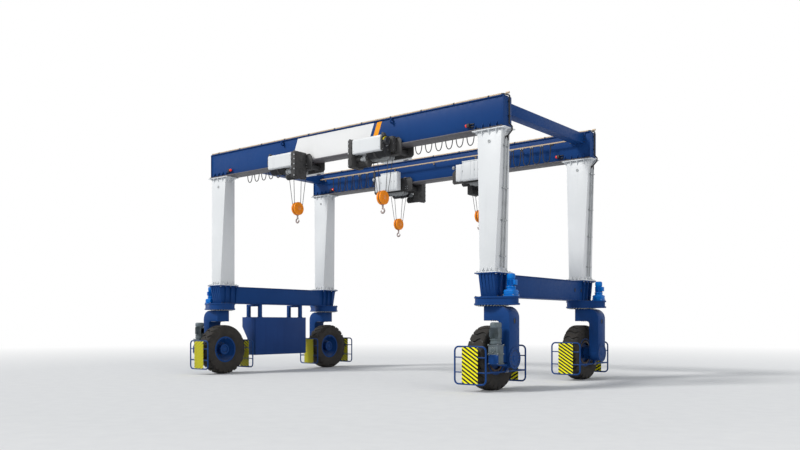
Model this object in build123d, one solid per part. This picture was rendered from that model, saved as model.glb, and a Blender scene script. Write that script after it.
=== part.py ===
from build123d import *
import os
from math import cos, pi, radians, tan

os.makedirs("parts", exist_ok=True)

# Rubber tyred gantry crane, in millimetres. X runs along the two girders, Y from the near
# girder to the far one, Z up from the ground. The origin is on the ground in the middle.
# Every corner piece is built for the far right corner (+X, +Y) and mirrored to the others.

CORNERS = {  # name: side along X, side along Y
    "near_left": (-1, -1),
    "near_right": (1, -1),
    "far_left": (-1, 1),
    "far_right": (1, 1),
}

# Driving dimensions of the frame
corner_x = 5325          # legs, saddles and steering axes, from the middle of the crane
beam_y = 2430            # girders and legs, from the middle of the crane
wheel_y = 2500           # steering axes, from the middle of the crane
seat_gap = 0.3           # running clearance of a seated piece

# Flats of the round pieces, which keep the mesh light
pipe_flats = 6
small_flats = 8
medium_flats = 12
large_flats = 20

# Wheels
tyre_diameter = 1620
tyre_width = 480
tyre_shoulder = 50       # width of the tread's slanted edge
tyre_shoulder_radius = 650
wheel_inset = 35         # tyre centre inboard of the steering axis
rim_width = 330
rim_flange_radius = 430
rim_seat_radius = 400
rim_wall = 22
nave_radius = 250
nave_x = 70              # nave plate, from the tyre centre towards the bracket
nave_thickness = 30
hub_radius = 165
hub_bore = 90
hub_back = 185           # hub face towards the bracket, from the tyre centre
hub_front = 130          # hub face inboard, from the tyre centre
rim_flats = 18
lug_count = 22
lug_depth = 40
groove_width = 56        # between two lugs, along the tread
groove_wave = 45         # swing of a groove to each side of its middle
axle_z = tyre_diameter / 2

# Bracket that carries a wheel
bracket_gap = 120        # air between the tyre and the bracket's roof
bracket_roof = 360
bracket_half = 242       # half width along Y
bracket_in = 95          # inboard end, from the steering axis
bracket_out = 650        # outer face of the arm
arm_thickness = 290
bracket_corner = 290     # outer top corner
bracket_inner_corner = 90
boss_radius = 270
boss_thickness = 20
axle_tube_radius = 160
spindle_radius = 78
ring_radius = 310
ring_height = 30

# Slewing bearing housing with the lobe under the steering gearmotor
housing_radius = 450
housing_height = 210
motor_reach = 555        # steering gearmotor axis, outboard of the steering axis
lobe_radius = 225
steer_flange = 300
steer_flange_height = 130
steer_motor_radius = 105
steer_motor_height = 440

# Saddle beams
saddle_width = 450
saddle_height = 600
saddle_top_half = 2790
saddle_bottom_half = 2670
pad_thickness = 25
pad_half_x = 325
pad_half_y = 390
rib_thickness = 18
saddle_rib_offsets = (-330, -110, 110, 330)

# Legs
leg_height = 3605
leg_base = (452, 598)
leg_head = (720, 346)
leg_flange = 25
head_plate = (970, 510)
leg_rib_height = 150

# Girders
girder_length = 11460
girder_height = 795
web_width = 340
top_flange = (400, 22)
bottom_flange = (500, 30)
girder_rib_offsets = (-420, -210, 0, 210)
lug_x = 2184             # lifting lugs along the girder
lug_bore = 35
lug_thickness = 30
lug_reach = 55
lug_drop = 110           # lug bore below the girder's top

# End beams between the girders
end_beam_x = 5385
end_beam_width = 300
end_beam_height = 290
end_beam_drop = 50
end_plate = 25
end_plate_edge = 30

# Heights that follow from the sizes above
bracket_z = tyre_diameter + bracket_gap
bracket_top = bracket_z + bracket_roof
housing_z = bracket_top + ring_height
saddle_z = housing_z + housing_height
saddle_top = saddle_z + saddle_height
girder_z = saddle_top + leg_height
girder_top = girder_z + girder_height

# Guards in front of and behind each wheel
guard_reach = 939        # along Y from the axle
guard_half = 473         # along X from the tyre centre
guard_low = 171
guard_high = 1128
guard_tube = 44
guard_corner = 90
guard_rails = (480, 845)
guard_rail = 30
plate_half = 230
plate_thickness = 6
foot_width = 90

# Drive gearmotors of the near wheels
drive_out = 455
drive_reach = 550
drive_motor_radius = 147
drive_motor_height = 545
drive_box = (300, 300, 475)
drive_box_z = 680
drive_console = 200
drive_console_inset = 40

# Power house under the left saddle
house_inner = 5100       # wall that faces the bay
house_top_width = 705
house_low_width = 440
house_half = 1210
house_z = 580
house_top = 1895
house_slope = (1150, 1555)
house_wall = 40
hanger_y = 965
hanger_post = 110
hanger_beam = 70
engine_size = (300, 1500, 600)
engine_gap = 20

# Hoists; along X from the hook, along Y from the middle of the girder, up from the girder's
# underside
hook_x = 1709
hook_shift = 40          # hook outboard of the girder's middle
frame_half = 860
frame_plate = 32
frame_gap = 12           # side frame to flange edge
frame_low = girder_z - 270
frame_high = girder_z + 200
frame_cut = (60, 90)     # corners cut off the side frames, low and high
travel_wheel_radius = 90
travel_wheel_width = 50
travel_wheel_x = 520
cross_x = 620
cross_size = (120, 130)
cover_x = (-480, 520)
cover_y = (330, 780)
cover_z = (girder_z - 200, girder_z + 220)
cover_edge = 60
gearbox_x = (-668, -480)
gearbox_y = (350, 780)
gearbox_z = (girder_z - 565, girder_z + 245)
hoist_motor_radius = 110
hoist_motor_y = 510
hoist_motor_z = girder_z - 450
hoist_motor_x = (-480, 60)
end_box_x = (520, 700)
end_box_y = (350, 755)
cap_radius = 95
cap_length = 40
cap_rise = 60
cabinet_x = (-480, 512)
cabinet_y = (-644, -440)
cabinet_z = (girder_z - 245, girder_z + 375)
cabinet_arm = 70
crosshead_half = 330
crosshead_y = 130
crosshead_z = (girder_z - 325, girder_z - 215)
tow_arm_x = 787
tow_arm_width = 40

# Falls of rope, hook blocks and hooks
rope_radius = 9
trim_block = 1000        # edge of the blocks that cut the falls' ends
fall_top = (270, 100)
fall_low = (83, 150)
sheave_pitch = 83
sheave_width = 62
guard_radius = 200
block_z = crosshead_z[0] - 1022
block_axle_radius = 60
trunnion_z = block_z - 183
trunnion_half = 60
cheek_half = (120, 70)
hook_tip_z = trunnion_z - 274
hook_bowl = 48
hook_body = 42
hook_thick = 44
shank_radius = 26

# Festoon
rail_y = -360            # from the middle of the girder
rail_z = girder_top - 250
rail_size = 36
rail_end = 5190
rail_arm = 50
rail_arm_pitch = 1700
cable_radius = 13
loop_pitch = 344
loop_count = 6
carrier_size = (120, 36, 46)
carrier_head_gap = 6

# Route of one loop of cable: along X from the inboard carrier, and up from its underside
near_loop = ((40, 0), (40, -325), (86, -685), (257, -690), (304, -335), (304, 0))
far_loop = ((40, 0), (40, -235), (84, -492), (258, -496), (304, -240), (304, 0))

# Conduits
conduit_radius = 20
clamp_pitch = 4900
clamp_size = (50, 64)
conduit_inset = 40
conduit_rise = 10
conduit_end = 60
leg_pipe_radius = 19
leg_pipe_gap = 130
leg_pipe_stand = 36
leg_clamp = (40, 56)
leg_pipe_ends = (100, 260)    # below and above the pipe, along the leg
leg_clamp_shares = (0.08, 0.5, 0.92)

# Warning lamps
lamp_x = 4684
lamp_z = girder_z + 165
lamp_radius = 45
lamp_length = 65
lamp_base = (70, 90)
lamp_stand = 60


def block(x, y, z):
    """Box between two values on each axis."""
    size = Box(abs(x[1] - x[0]), abs(y[1] - y[0]), abs(z[1] - z[0]))
    return Pos((x[0] + x[1]) / 2, (y[0] + y[1]) / 2, (z[0] + z[1]) / 2) * size


def around(middle, size):
    """Pair of values on both sides of a middle."""
    return middle - size / 2, middle + size / 2


def bar(start, end, radius, flats):
    """Bar of regular section between two points, with its flats square to the axes."""
    axis = Vector(*end) - Vector(*start)
    seat = Plane(origin=start, z_dir=axis)
    return extrude(seat * RegularPolygon(radius, flats, rotation=180 / flats), axis.length)


def disc_x(x, y, z, radius, flats):
    """Disc with flats and its axis along X."""
    return bar((x[0], y, z), (x[1], y, z), radius, flats)


def cone_x(x, y, z, radii, flats):
    """Disc of changing radius with flats and its axis along X."""
    sections = [Plane(origin=(place, y, z), z_dir=(1, 0, 0))
                * RegularPolygon(radius, flats, rotation=180 / flats)
                for place, radius in zip(x, radii)]
    return loft(sections, ruled=True)


def plate_yz(points, x, thickness):
    """Flat plate across X from its outline in Y and Z."""
    outline = make_face(Polyline(*[(x - thickness / 2, y, z) for y, z in points], close=True))
    return extrude(outline, thickness, dir=(1, 0, 0))


def plate_xz(points, y, thickness):
    """Flat plate across Y from its outline in X and Z."""
    outline = make_face(Polyline(*[(x, y - thickness / 2, z) for x, z in points], close=True))
    return extrude(outline, thickness, dir=(0, 1, 0))


def to_corner(shape, side_x, side_y):
    """Mirror a piece from the far right corner to another corner."""
    if side_x < 0:
        shape = mirror(shape, about=Plane.YZ)
    if side_y < 0:
        shape = mirror(shape, about=Plane.XZ)
    return shape


def save(name, shape, colour):
    """Write one piece as one STEP file."""
    solids = shape.solids()
    piece = Compound(children=list(solids)) if len(solids) > 1 else solids[0]
    piece.label = name
    piece.color = Color(*colour)
    export_step(piece, f"parts/{name}.step")


BLUE = (0.18, 0.29, 0.53)
WHITE = (0.9, 0.91, 0.92)
BLACK = (0.17, 0.17, 0.18)
MOTOR_BLUE = (0.08, 0.51, 0.89)
GREY = (0.37, 0.44, 0.46)
ORANGE = (0.94, 0.57, 0.12)
STEEL = (0.6, 0.6, 0.6)
TAN = (0.73, 0.65, 0.55)
RED = (0.89, 0.23, 0.16)


def girder():
    """Box girder with flanges, stiffening ribs over the legs and lifting lugs."""
    half = girder_length / 2
    low = girder_z + bottom_flange[1]
    high = girder_top - top_flange[1]
    body = block((-half, half), around(beam_y, web_width), (low, high))
    body += block((-half, half), around(beam_y, bottom_flange[0]), (girder_z, low))
    body += block((-half, half), around(beam_y, top_flange[0]), (high, girder_top))
    for end in (-1, 1):
        for offset in girder_rib_offsets:
            for side in (-1, 1):
                root = beam_y + side * web_width / 2
                tip = beam_y + side * bottom_flange[0] / 2
                points = ((root, low), (tip, low), (root, low + leg_rib_height))
                body += plate_yz(points, end * (corner_x + offset), rib_thickness)
    for x in (-lug_x, lug_x):
        body += lifting_lug(x)
    return body


def lifting_lug(x):
    """Eye plate on the outer web with a round bore along X."""
    root = beam_y + web_width / 2
    z = girder_top - lug_drop
    eye = lug_bore * 2
    outline = ((root, z - eye), (root + lug_reach + eye / 2, z - eye), (root + lug_reach + eye, z),
               (root + lug_reach + eye / 2, z + eye), (root, z + eye))
    bore = Plane(origin=(x, root + lug_reach, z), z_dir=(1, 0, 0)) * Cylinder(lug_bore, lug_thickness)
    return plate_yz(outline, x, lug_thickness) - bore


def end_beams():
    """Box beams between the girders' inner webs with bolted end plates."""
    face = beam_y - web_width / 2
    x = around(end_beam_x, end_beam_width)
    z = (girder_top - end_beam_drop - end_beam_height, girder_top - end_beam_drop)
    beam = block(x, (-face, face), z)
    for side in (-1, 1):
        beam += block((x[0] - end_plate_edge, x[1] + end_plate_edge),
                      (side * face, side * (face - end_plate)),
                      (z[0] - end_plate_edge, z[1] + end_plate_edge / 2))
    return Compound(children=[beam, mirror(beam, about=Plane.YZ)])


def leg():
    """Tapered box leg with its base flange, head flange and gussets under the head."""
    low = saddle_top + leg_flange
    high = girder_z - leg_flange
    base = Pos(corner_x, beam_y, low) * Rectangle(*leg_base)
    head = Pos(corner_x, beam_y, high) * Rectangle(*leg_head)
    body = loft([base, head], ruled=True)
    body += block(around(corner_x, 2 * pad_half_x), around(beam_y, 2 * pad_half_y),
                  (saddle_top, low))
    body += block(around(corner_x, head_plate[0]), around(beam_y, head_plate[1]),
                  (high, girder_z))
    for side in (-1, 1):
        root = beam_y + side * leg_head[1] / 2
        tip = beam_y + side * head_plate[1] / 2
        points = ((root, high), (tip, high), (root, high - leg_rib_height))
        for offset in girder_rib_offsets:
            if abs(offset) < leg_head[0] / 2:
                body += plate_yz(points, corner_x + offset, rib_thickness)
    return body


def keyhole(radius, lobe):
    """Round plate with a smaller round lobe outboard."""
    disc = RegularPolygon(radius, large_flats, rotation=180 / large_flats)
    end = Pos(motor_reach, 0) * RegularPolygon(lobe, medium_flats, rotation=180 / medium_flats)
    web = make_face(Polyline((0, radius), (0, -radius), (motor_reach, -lobe), (motor_reach, lobe),
                             close=True))
    return disc + end + web


def saddle():
    """Beam along Y under two legs, with its ribs and the slewing housings bolted below."""
    top = saddle_top - pad_thickness
    outline = ((-saddle_bottom_half, saddle_z), (saddle_bottom_half, saddle_z),
               (saddle_top_half, top), (-saddle_top_half, top))
    body = plate_yz(outline, corner_x, saddle_width)
    for side in (-1, 1):
        middle = side * beam_y
        body += block(around(corner_x, 2 * pad_half_x), around(middle, 2 * pad_half_y),
                      (top, saddle_top))
        for offset in saddle_rib_offsets:
            y = middle + offset
            for face in (-1, 1):
                root = corner_x + face * saddle_width / 2
                tip = corner_x + face * pad_half_x
                if abs(y) < saddle_bottom_half:
                    body += plate_xz(((root, saddle_z), (tip, top), (root, top)), y, rib_thickness)
        housing = Pos(corner_x, side * wheel_y, housing_z) * keyhole(housing_radius, lobe_radius)
        body += extrude(housing, housing_height)
    return body


def steering_gearmotor():
    """Upright gearmotor on the housing's lobe."""
    x = corner_x + motor_reach
    top = saddle_z + steer_flange_height
    body = block(around(x, steer_flange), around(wheel_y, steer_flange), (saddle_z, top))
    return body + bar((x, wheel_y, top), (x, wheel_y, top + steer_motor_height),
                      steer_motor_radius, medium_flats)


def bracket(driven):
    """Rotating bracket: ring, roof, outer arm with round foot, axle tube and spindle."""
    inner = corner_x + bracket_out - arm_thickness
    outer = corner_x + bracket_out
    back = corner_x - bracket_in
    y = around(wheel_y, 2 * bracket_half)
    body = block((back, outer), y, (bracket_z, bracket_top))
    body = fillet(body.edges().filter_by(Axis.Y).sort_by(Axis.X)[-2:].sort_by(Axis.Z)[-1],
                  bracket_corner)
    body += block((inner, outer), y, (axle_z, bracket_z))
    corner = body.edges().filter_by(Axis.Y).filter_by_position(
        Axis.X, inner - 1, inner + 1).filter_by_position(Axis.Z, bracket_z - 1, bracket_z + 1)
    body = fillet(corner, bracket_inner_corner)
    body += disc_x((inner, outer), wheel_y, axle_z, bracket_half / cos(pi / large_flats),
                   large_flats)
    body += disc_x((outer, outer + boss_thickness), wheel_y, axle_z, boss_radius, large_flats)
    middle = corner_x - wheel_inset
    seat = middle + hub_back + seat_gap
    body += disc_x((seat, inner), wheel_y, axle_z, axle_tube_radius, medium_flats)
    body += disc_x((middle - hub_front + 20, seat), wheel_y, axle_z, spindle_radius, small_flats)
    body += bar((corner_x, wheel_y, bracket_top), (corner_x, wheel_y, housing_z - seat_gap),
                ring_radius, large_flats)
    if driven:
        x = corner_x + drive_out
        body += block(around(x, drive_console),
                      (wheel_y + bracket_half, wheel_y + drive_reach - drive_box[1] / 2),
                      (drive_box_z + drive_console_inset,
                       drive_box_z + drive_box[2] - drive_console_inset))
    return body


def drive_gearmotor():
    """Upright drive gearmotor on the bracket's console: gearbox below, motor above."""
    x = corner_x + drive_out
    y = wheel_y + drive_reach
    top = drive_box_z + drive_box[2]
    body = block(around(x, drive_box[0]), around(y, drive_box[1]), (drive_box_z, top))
    return body + bar((x, y, top), (x, y, top + drive_motor_height), drive_motor_radius,
                      medium_flats)


def guard():
    """Tube frames fore and aft of a wheel with plates, joined by a bar under the bracket."""
    middle = corner_x - wheel_inset
    left = middle - guard_half
    right = middle + guard_half
    inside = guard_corner - guard_tube * tan(pi / 8)

    def outline(edge, cut):
        return ((left + edge + cut, guard_low + edge), (right - edge - cut, guard_low + edge),
                (right - edge, guard_low + edge + cut), (right - edge, guard_high - edge - cut),
                (right - edge - cut, guard_high - edge), (left + edge + cut, guard_high - edge),
                (left + edge, guard_high - edge - cut), (left + edge, guard_low + edge + cut))
    bar_x = right - guard_tube / 2
    bar_z = guard_rails[0]
    body = block(around(bar_x, guard_tube), around(wheel_y, 2 * guard_reach),
                 around(bar_z, guard_tube))
    for side in (-1, 1):
        y = wheel_y + side * guard_reach
        body += plate_xz(outline(0, guard_corner), y, guard_tube) - plate_xz(
            outline(guard_tube, inside), y, 2 * guard_tube)
        for z in guard_rails:
            body += block((left + guard_tube / 2, right - guard_tube / 2), around(y, guard_rail),
                          around(z, guard_rail))
        face = y + side * guard_tube / 2
        body += block(around(middle, 2 * plate_half), (face, face - side * plate_thickness),
                      (guard_low + guard_tube / 2, guard_high - guard_tube / 2))
    foot = axle_z - bracket_half - seat_gap
    return body + block(around(bar_x, foot_width), around(wheel_y, foot_width), (bar_z, foot))


def power_house():
    """House with a sloped lower corner; hollow, with a wall all round."""
    def outline(wall):
        inner = house_inner + wall
        outer = house_inner + house_top_width - wall
        narrow = house_inner + house_low_width - wall
        return ((inner, house_z + wall), (narrow, house_z + wall), (narrow, house_slope[0]),
                (outer, house_slope[1]), (outer, house_top - wall), (inner, house_top - wall))
    body = plate_xz(outline(0), 0, 2 * house_half)
    room = plate_xz(outline(house_wall), 0, 2 * (house_half - house_wall))
    return mirror(body - room, about=Plane.YZ)


def hangers():
    """Two portal frames that carry the power house under the saddle."""
    outer = house_inner + house_top_width
    frames = []
    for side in (-1, 1):
        y = around(side * hanger_y, hanger_post)
        frame = block((house_inner, outer), y, (saddle_z - hanger_beam, saddle_z))
        for x in (house_inner, outer - hanger_post):
            frame += block((x, x + hanger_post), y, (house_top, saddle_z))
        frames.append(mirror(frame, about=Plane.YZ))
    return Compound(children=frames)


def engine():
    """Plain block for the engine and generator on the house's floor."""
    x = house_inner + house_wall + engine_gap
    floor = house_z + house_wall
    return mirror(block((x, x + engine_size[0]), around(0, engine_size[1]),
                        (floor, floor + engine_size[2])), about=Plane.YZ)


def hoist_block(a, b, z):
    """Box placed along X from the hook and along Y from the middle of the girder."""
    return block((hook_x + a[0], hook_x + a[1]), (beam_y + b[0], beam_y + b[1]), z)


def hoist_machine():
    """Underslung trolley with wheels, cross members, gearbox, motor, end box and crosshead."""
    inner = bottom_flange[0] / 2 + frame_gap
    outer = inner + frame_plate
    wheel_z = girder_z + bottom_flange[1] + travel_wheel_radius + seat_gap
    low_cut, high_cut = frame_cut
    outline = ((-frame_half, frame_low + low_cut), (-frame_half + low_cut, frame_low),
               (frame_half - low_cut, frame_low), (frame_half, frame_low + low_cut),
               (frame_half, frame_high - high_cut), (frame_half - high_cut, frame_high),
               (-frame_half + high_cut, frame_high), (-frame_half, frame_high - high_cut))
    points = [(hook_x + a, z) for a, z in outline]
    beam_z = (crosshead_z[1], crosshead_z[1] + cross_size[1])
    spread = (hook_shift - crosshead_y, hook_shift + crosshead_y)
    body = hoist_block((-cross_x, cross_x), spread, beam_z)
    body += hoist_block((-crosshead_half, crosshead_half), spread, crosshead_z)
    for a in (-cross_x, cross_x):
        body += hoist_block(around(a, cross_size[0]), (-inner, inner), beam_z)
    for side in (-1, 1):
        body += plate_xz(points, beam_y + side * (inner + outer) / 2, frame_plate)
        for a in (-travel_wheel_x, travel_wheel_x):
            hub = (hook_x + a, beam_y + side * inner, wheel_z)
            tread = (hook_x + a, beam_y + side * (inner - frame_gap - travel_wheel_width), wheel_z)
            body += bar(tread, hub, travel_wheel_radius, small_flats)
    body += hoist_block(gearbox_x, (outer, gearbox_y[1]), gearbox_z)
    body += hoist_block(end_box_x, (outer, end_box_y[1]), cover_z)
    end = hook_x + end_box_x[1]
    body += disc_x((end, end + cap_length), beam_y + sum(end_box_y) / 2,
                   sum(cover_z) / 2 + cap_rise, cap_radius, medium_flats)
    body += disc_x((hook_x + hoist_motor_x[0], hook_x + hoist_motor_x[1]), beam_y + hoist_motor_y,
                   hoist_motor_z, hoist_motor_radius, medium_flats)
    for a in (cabinet_x[0] + 2 * cabinet_arm, cabinet_x[1] - 2 * cabinet_arm):
        body += hoist_block(around(a, cabinet_arm), (-outer, cabinet_y[1]),
                            (frame_low + low_cut, frame_low + low_cut + cabinet_arm))
    return body + tow_arm(inner)


def tow_arm(inner):
    """Arm from the side frame's outboard end up to the cable, with a clamp for it."""
    low = frame_high - frame_cut[1]
    head = rail_z - rail_size / 2 - carrier_size[2] + seat_gap
    top = rail_z - rail_size / 2 - carrier_head_gap
    a = around(tow_arm_x, tow_arm_width)
    body = hoist_block(a, (rail_y - carrier_size[1] / 2, -inner), (low - tow_arm_width, low))
    body += hoist_block(a, around(rail_y, carrier_size[1]), (low, head))
    return body + hoist_block(around(tow_arm_x, carrier_size[0]), around(rail_y, carrier_size[1]),
                              (head, top))


def hoist_covers():
    """White drum cover on the outer side and electric cabinet on the inner side."""
    drum = hoist_block(cover_x, cover_y, cover_z)
    drum = chamfer(drum.edges().filter_by(Axis.X).group_by(Axis.Y)[-1], cover_edge)
    return Compound(children=[drum, hoist_block(cabinet_x, cabinet_y, cabinet_z)])


def hoist_ropes():
    """Four falls of rope from the crosshead down to the hook block's two sheaves."""
    falls = []
    x = hook_x
    y = beam_y + hook_shift
    top = crosshead_z[0] - seat_gap
    reach = guard_radius + seat_gap
    rise = (guard_radius ** 2 - fall_low[1] ** 2) ** 0.5
    for i in (-1, 1):
        for j in (-1, 1):
            upper = Vector(x + i * fall_top[0], y + j * fall_top[1], top)
            lower = Vector(x + i * fall_low[0], y + j * fall_low[1], block_z)
            past = (upper - lower).normalized() * fall_low[1]
            fall = bar(tuple(upper + past), tuple(lower), rope_radius, pipe_flats)
            fall -= Pos(x, y, top + trim_block / 2) * Box(trim_block, trim_block, trim_block)
            touch = Plane(origin=(x, y, block_z), x_dir=(1, 0, 0), z_dir=(0, j * fall_low[1], rise))
            fall -= touch * Pos(0, 0, reach - trim_block / 2) * Box(trim_block, trim_block, trim_block)
            falls.append(fall.solids().sort_by(Axis.Z)[-1])
    return Compound(children=falls)


def hook_block():
    """Two sheaves under round guards, with side plates down to the hook's trunnion."""
    x = hook_x
    y = beam_y + hook_shift
    half = sheave_pitch + sheave_width / 2
    space = sheave_pitch - sheave_width / 2
    wide, narrow = cheek_half
    outline = ((y - wide, block_z - narrow), (y - trunnion_half, trunnion_z),
               (y + trunnion_half, trunnion_z), (y + wide, block_z - narrow),
               (y + narrow, block_z + narrow), (y - narrow, block_z + narrow))
    body = plate_yz(outline, x, 2 * space)
    for side in (-1, 1):
        body += disc_x(sorted((x + side * space, x + side * half)), y, block_z, guard_radius,
                       large_flats)
    return body


def hook():
    """Forged single hook with its shank, hanging from the trunnion."""
    x = hook_x
    y = beam_y + hook_shift
    outer = hook_bowl + hook_body
    centre_z = hook_tip_z + outer
    ring = RegularPolygon(outer, large_flats) - RegularPolygon(hook_bowl, medium_flats)
    mouth = make_face(Polyline((0, 0), (2 * outer, 0.35 * outer), (2 * outer, 2 * outer),
                               (0, 2 * outer), close=True))
    bowl = extrude(Plane.XZ * (ring - mouth), hook_thick / 2, both=True)
    bowl = bowl.moved(Location((x, y, centre_z)))
    return bowl + bar((x, y, centre_z + hook_bowl), (x, y, trunnion_z - seat_gap), shank_radius,
                      small_flats)


def carrier_places():
    """Middle of each cable carrier along X, from the tow arm to the fixed end."""
    return [hook_x + tow_arm_x + step * loop_pitch for step in range(loop_count + 1)]


def festoon_tracks():
    """Cable rails along the inner webs, on arms, with the cable's fixed clamps."""
    tracks = []
    under = rail_z - rail_size / 2
    for side in (-1, 1):
        y = side * (beam_y + rail_y)
        web = side * (beam_y - web_width / 2)
        rail = block((-rail_end, rail_end), around(y, rail_size), around(rail_z, rail_size))
        count = int(rail_end // rail_arm_pitch)
        for step in range(-count, count + 1):
            rail += block(around(step * rail_arm_pitch, rail_arm), (y, web),
                          (rail_z + rail_size / 2, rail_z + rail_size))
        for end in (-1, 1):
            rail += block(around(end * carrier_places()[-1], carrier_size[0]),
                          around(y, carrier_size[1]), (under - carrier_size[2], under))
        tracks.append(rail)
    return Compound(children=tracks)


def festoon_cable(route):
    """Loops of cable between the carriers; each loop is straight runs joined by arcs."""
    y = beam_y + rail_y
    under = rail_z - rail_size / 2 - carrier_size[2]
    loops = []
    for place in carrier_places()[:-1]:
        points = [Vector(place + along, y, under + up) for along, up in route]
        runs = [b - a for a, b in zip(points, points[1:])]
        bends = [0.45 * min(a.length, b.length) / tan(radians(a.get_angle(b)) / 2)
                 for a, b in zip(runs, runs[1:])]
        path = FilletPolyline(*points, radius=bends)
        section = Plane(origin=points[0], z_dir=runs[0]) * Rectangle(*[2 * cable_radius] * 2)
        loops.append(sweep(section, path=path))
    print("cable bend radii", [round(bend) for bend in bends], "length", round(path.length),
          "volume over section by length", round(loops[0].volume / section.area / path.length, 4))
    return Compound(children=loops)


def festoon_carriers():
    """Small trolleys under the rails, between the loops of cable."""
    under = rail_z - rail_size / 2
    carriers = []
    for sides in CORNERS.values():
        for place in carrier_places()[1:-1]:
            carrier = block(around(place, carrier_size[0]), around(beam_y + rail_y, carrier_size[1]),
                            (under - carrier_size[2], under))
            carriers.append(to_corner(carrier, *sides))
    return Compound(children=carriers)


def conduits():
    """Pipes along the girders' top outer edges and down the outer faces of the right legs."""
    pieces = []
    z = girder_top + conduit_radius + conduit_rise
    end = girder_length / 2 - conduit_end
    for side in (-1, 1):
        y = side * (beam_y + top_flange[0] / 2 - conduit_inset)
        pipe = bar((-end, y, z), (end, y, z), conduit_radius, pipe_flats)
        count = int(end // clamp_pitch)
        for step in range(-count, count + 1):
            pipe += block(around(step * clamp_pitch, clamp_size[0]), around(y, clamp_size[1]),
                          (girder_top, z))
        pieces.append(pipe)
        for offset in (-leg_pipe_gap / 2, leg_pipe_gap / 2):
            pieces.append(leg_pipe(side * beam_y + offset))
    return Compound(children=pieces)


def leg_pipe(y):
    """Pipe with clamps down the sloping outer face of a right leg."""
    low = saddle_top + leg_flange
    high = girder_z - leg_flange
    slope = (leg_head[0] - leg_base[0]) / 2 / (high - low)

    def face(z):
        return corner_x + leg_base[0] / 2 + slope * (z - low)
    ends = (low + leg_pipe_ends[0], high - leg_pipe_ends[1])
    pipe = bar((face(ends[0]) + leg_pipe_stand, y, ends[0]),
               (face(ends[1]) + leg_pipe_stand, y, ends[1]), leg_pipe_radius, pipe_flats)
    for share in leg_clamp_shares:
        z = around(ends[0] + share * (ends[1] - ends[0]), leg_clamp[0])
        pipe += plate_xz(((face(z[0]), z[0]), (face(z[0]) + leg_pipe_stand, z[0]),
                          (face(z[1]) + leg_pipe_stand, z[1]), (face(z[1]), z[1])), y, leg_clamp[1])
    return pipe


def warning_lamps():
    """Lamps with their bases on the girders' webs that face the near side."""
    lamps = []
    for side in (-1, 1):
        for web in (-beam_y - web_width / 2, beam_y - web_width / 2):
            x = side * lamp_x
            y = web - lamp_stand
            lamp = block((x, x + side * lamp_base[0]), (web, y - lamp_radius),
                         around(lamp_z, lamp_base[1]))
            lamp += bar((x, y, lamp_z), (x - side * lamp_length, y, lamp_z), lamp_radius,
                        medium_flats)
            lamps.append(lamp)
    return Compound(children=lamps)


def tyre():
    """Tyre about its axle: a bulged carcass with wavy grooves between its lugs."""
    flats = 2 * lug_count
    x = corner_x - wheel_inset
    half = tyre_width / 2
    bead = rim_width / 2 - rim_wall - seat_gap
    tread = half - tyre_shoulder
    radii = [radius / cos(pi / flats) for radius in
             (rim_flange_radius + seat_gap, tyre_shoulder_radius, tyre_diameter / 2)]
    body = cone_x((x - bead, x - half, x - tread, x + tread, x + half, x + bead),
                  wheel_y, axle_z, radii + radii[::-1], flats)
    body -= disc_x((x - half, x + half), wheel_y, axle_z, rim_seat_radius + seat_gap * 2, rim_flats)
    axle = Axis((x, wheel_y, axle_z), (1, 0, 0))
    groove = tread_groove(x, half)
    return body - [groove.rotate(axle, 360 * (step + 0.5) / lug_count) for step in range(lug_count)]


def tread_groove(x, half):
    """Cut of one groove at the top of a tyre: a wave across the tread."""
    wave = ((-half, -1), (-half / 3, 1), (half / 3, -1), (half, 1))
    front = [(x + across, wheel_y + swing * groove_wave + groove_width / 2) for across, swing in wave]
    back = [(x + across, wheel_y + swing * groove_wave - groove_width / 2) for across, swing in wave]
    outline = make_face(Polyline(*front, *reversed(back), close=True))
    return extrude(Pos(0, 0, tyre_diameter - lug_depth) * outline, 2 * lug_depth)


def rim():
    """Dished rim with flanges, nave plate towards the bracket and hub."""
    x = corner_x - wheel_inset
    half = rim_width / 2
    turn = (wheel_y, axle_z)
    body = disc_x((x - half, x + half), *turn, rim_seat_radius, rim_flats)
    for end in (-1, 1):
        body += disc_x(sorted((x + end * half, x + end * (half - rim_wall))), *turn,
                       rim_flange_radius, rim_flats)
    inside = rim_seat_radius - rim_wall
    body -= cone_x((x - half - 1, x + nave_x), *turn, (inside, nave_radius), rim_flats)
    body -= disc_x((x + nave_x + nave_thickness, x + half + 1), *turn, inside, rim_flats)
    body += disc_x((x - hub_front, x + hub_back), *turn, hub_radius, medium_flats)
    return body - disc_x((x - hub_front - 1, x + hub_back + 1), *turn, hub_bore, medium_flats)


save("girder_near", to_corner(girder(), 1, -1), BLUE)
save("girder_far", girder(), BLUE)
save("end_beams", end_beams(), BLUE)
save("saddle_left", to_corner(saddle(), -1, 1), BLUE)
save("saddle_right", saddle(), BLUE)
save("power_house", power_house(), BLUE)
save("power_house_hangers", hangers(), BLUE)
save("engine_block", engine(), GREY)
save("festoon_tracks", festoon_tracks(), TAN)
save("festoon_carriers", festoon_carriers(), BLACK)
save("cable_conduits", conduits(), TAN)
save("warning_lamps", warning_lamps(), RED)
motor = steering_gearmotor()
save("steering_gearmotors", Compound(children=[to_corner(motor, *sides)
                                               for sides in CORNERS.values()]), MOTOR_BLUE)

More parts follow.
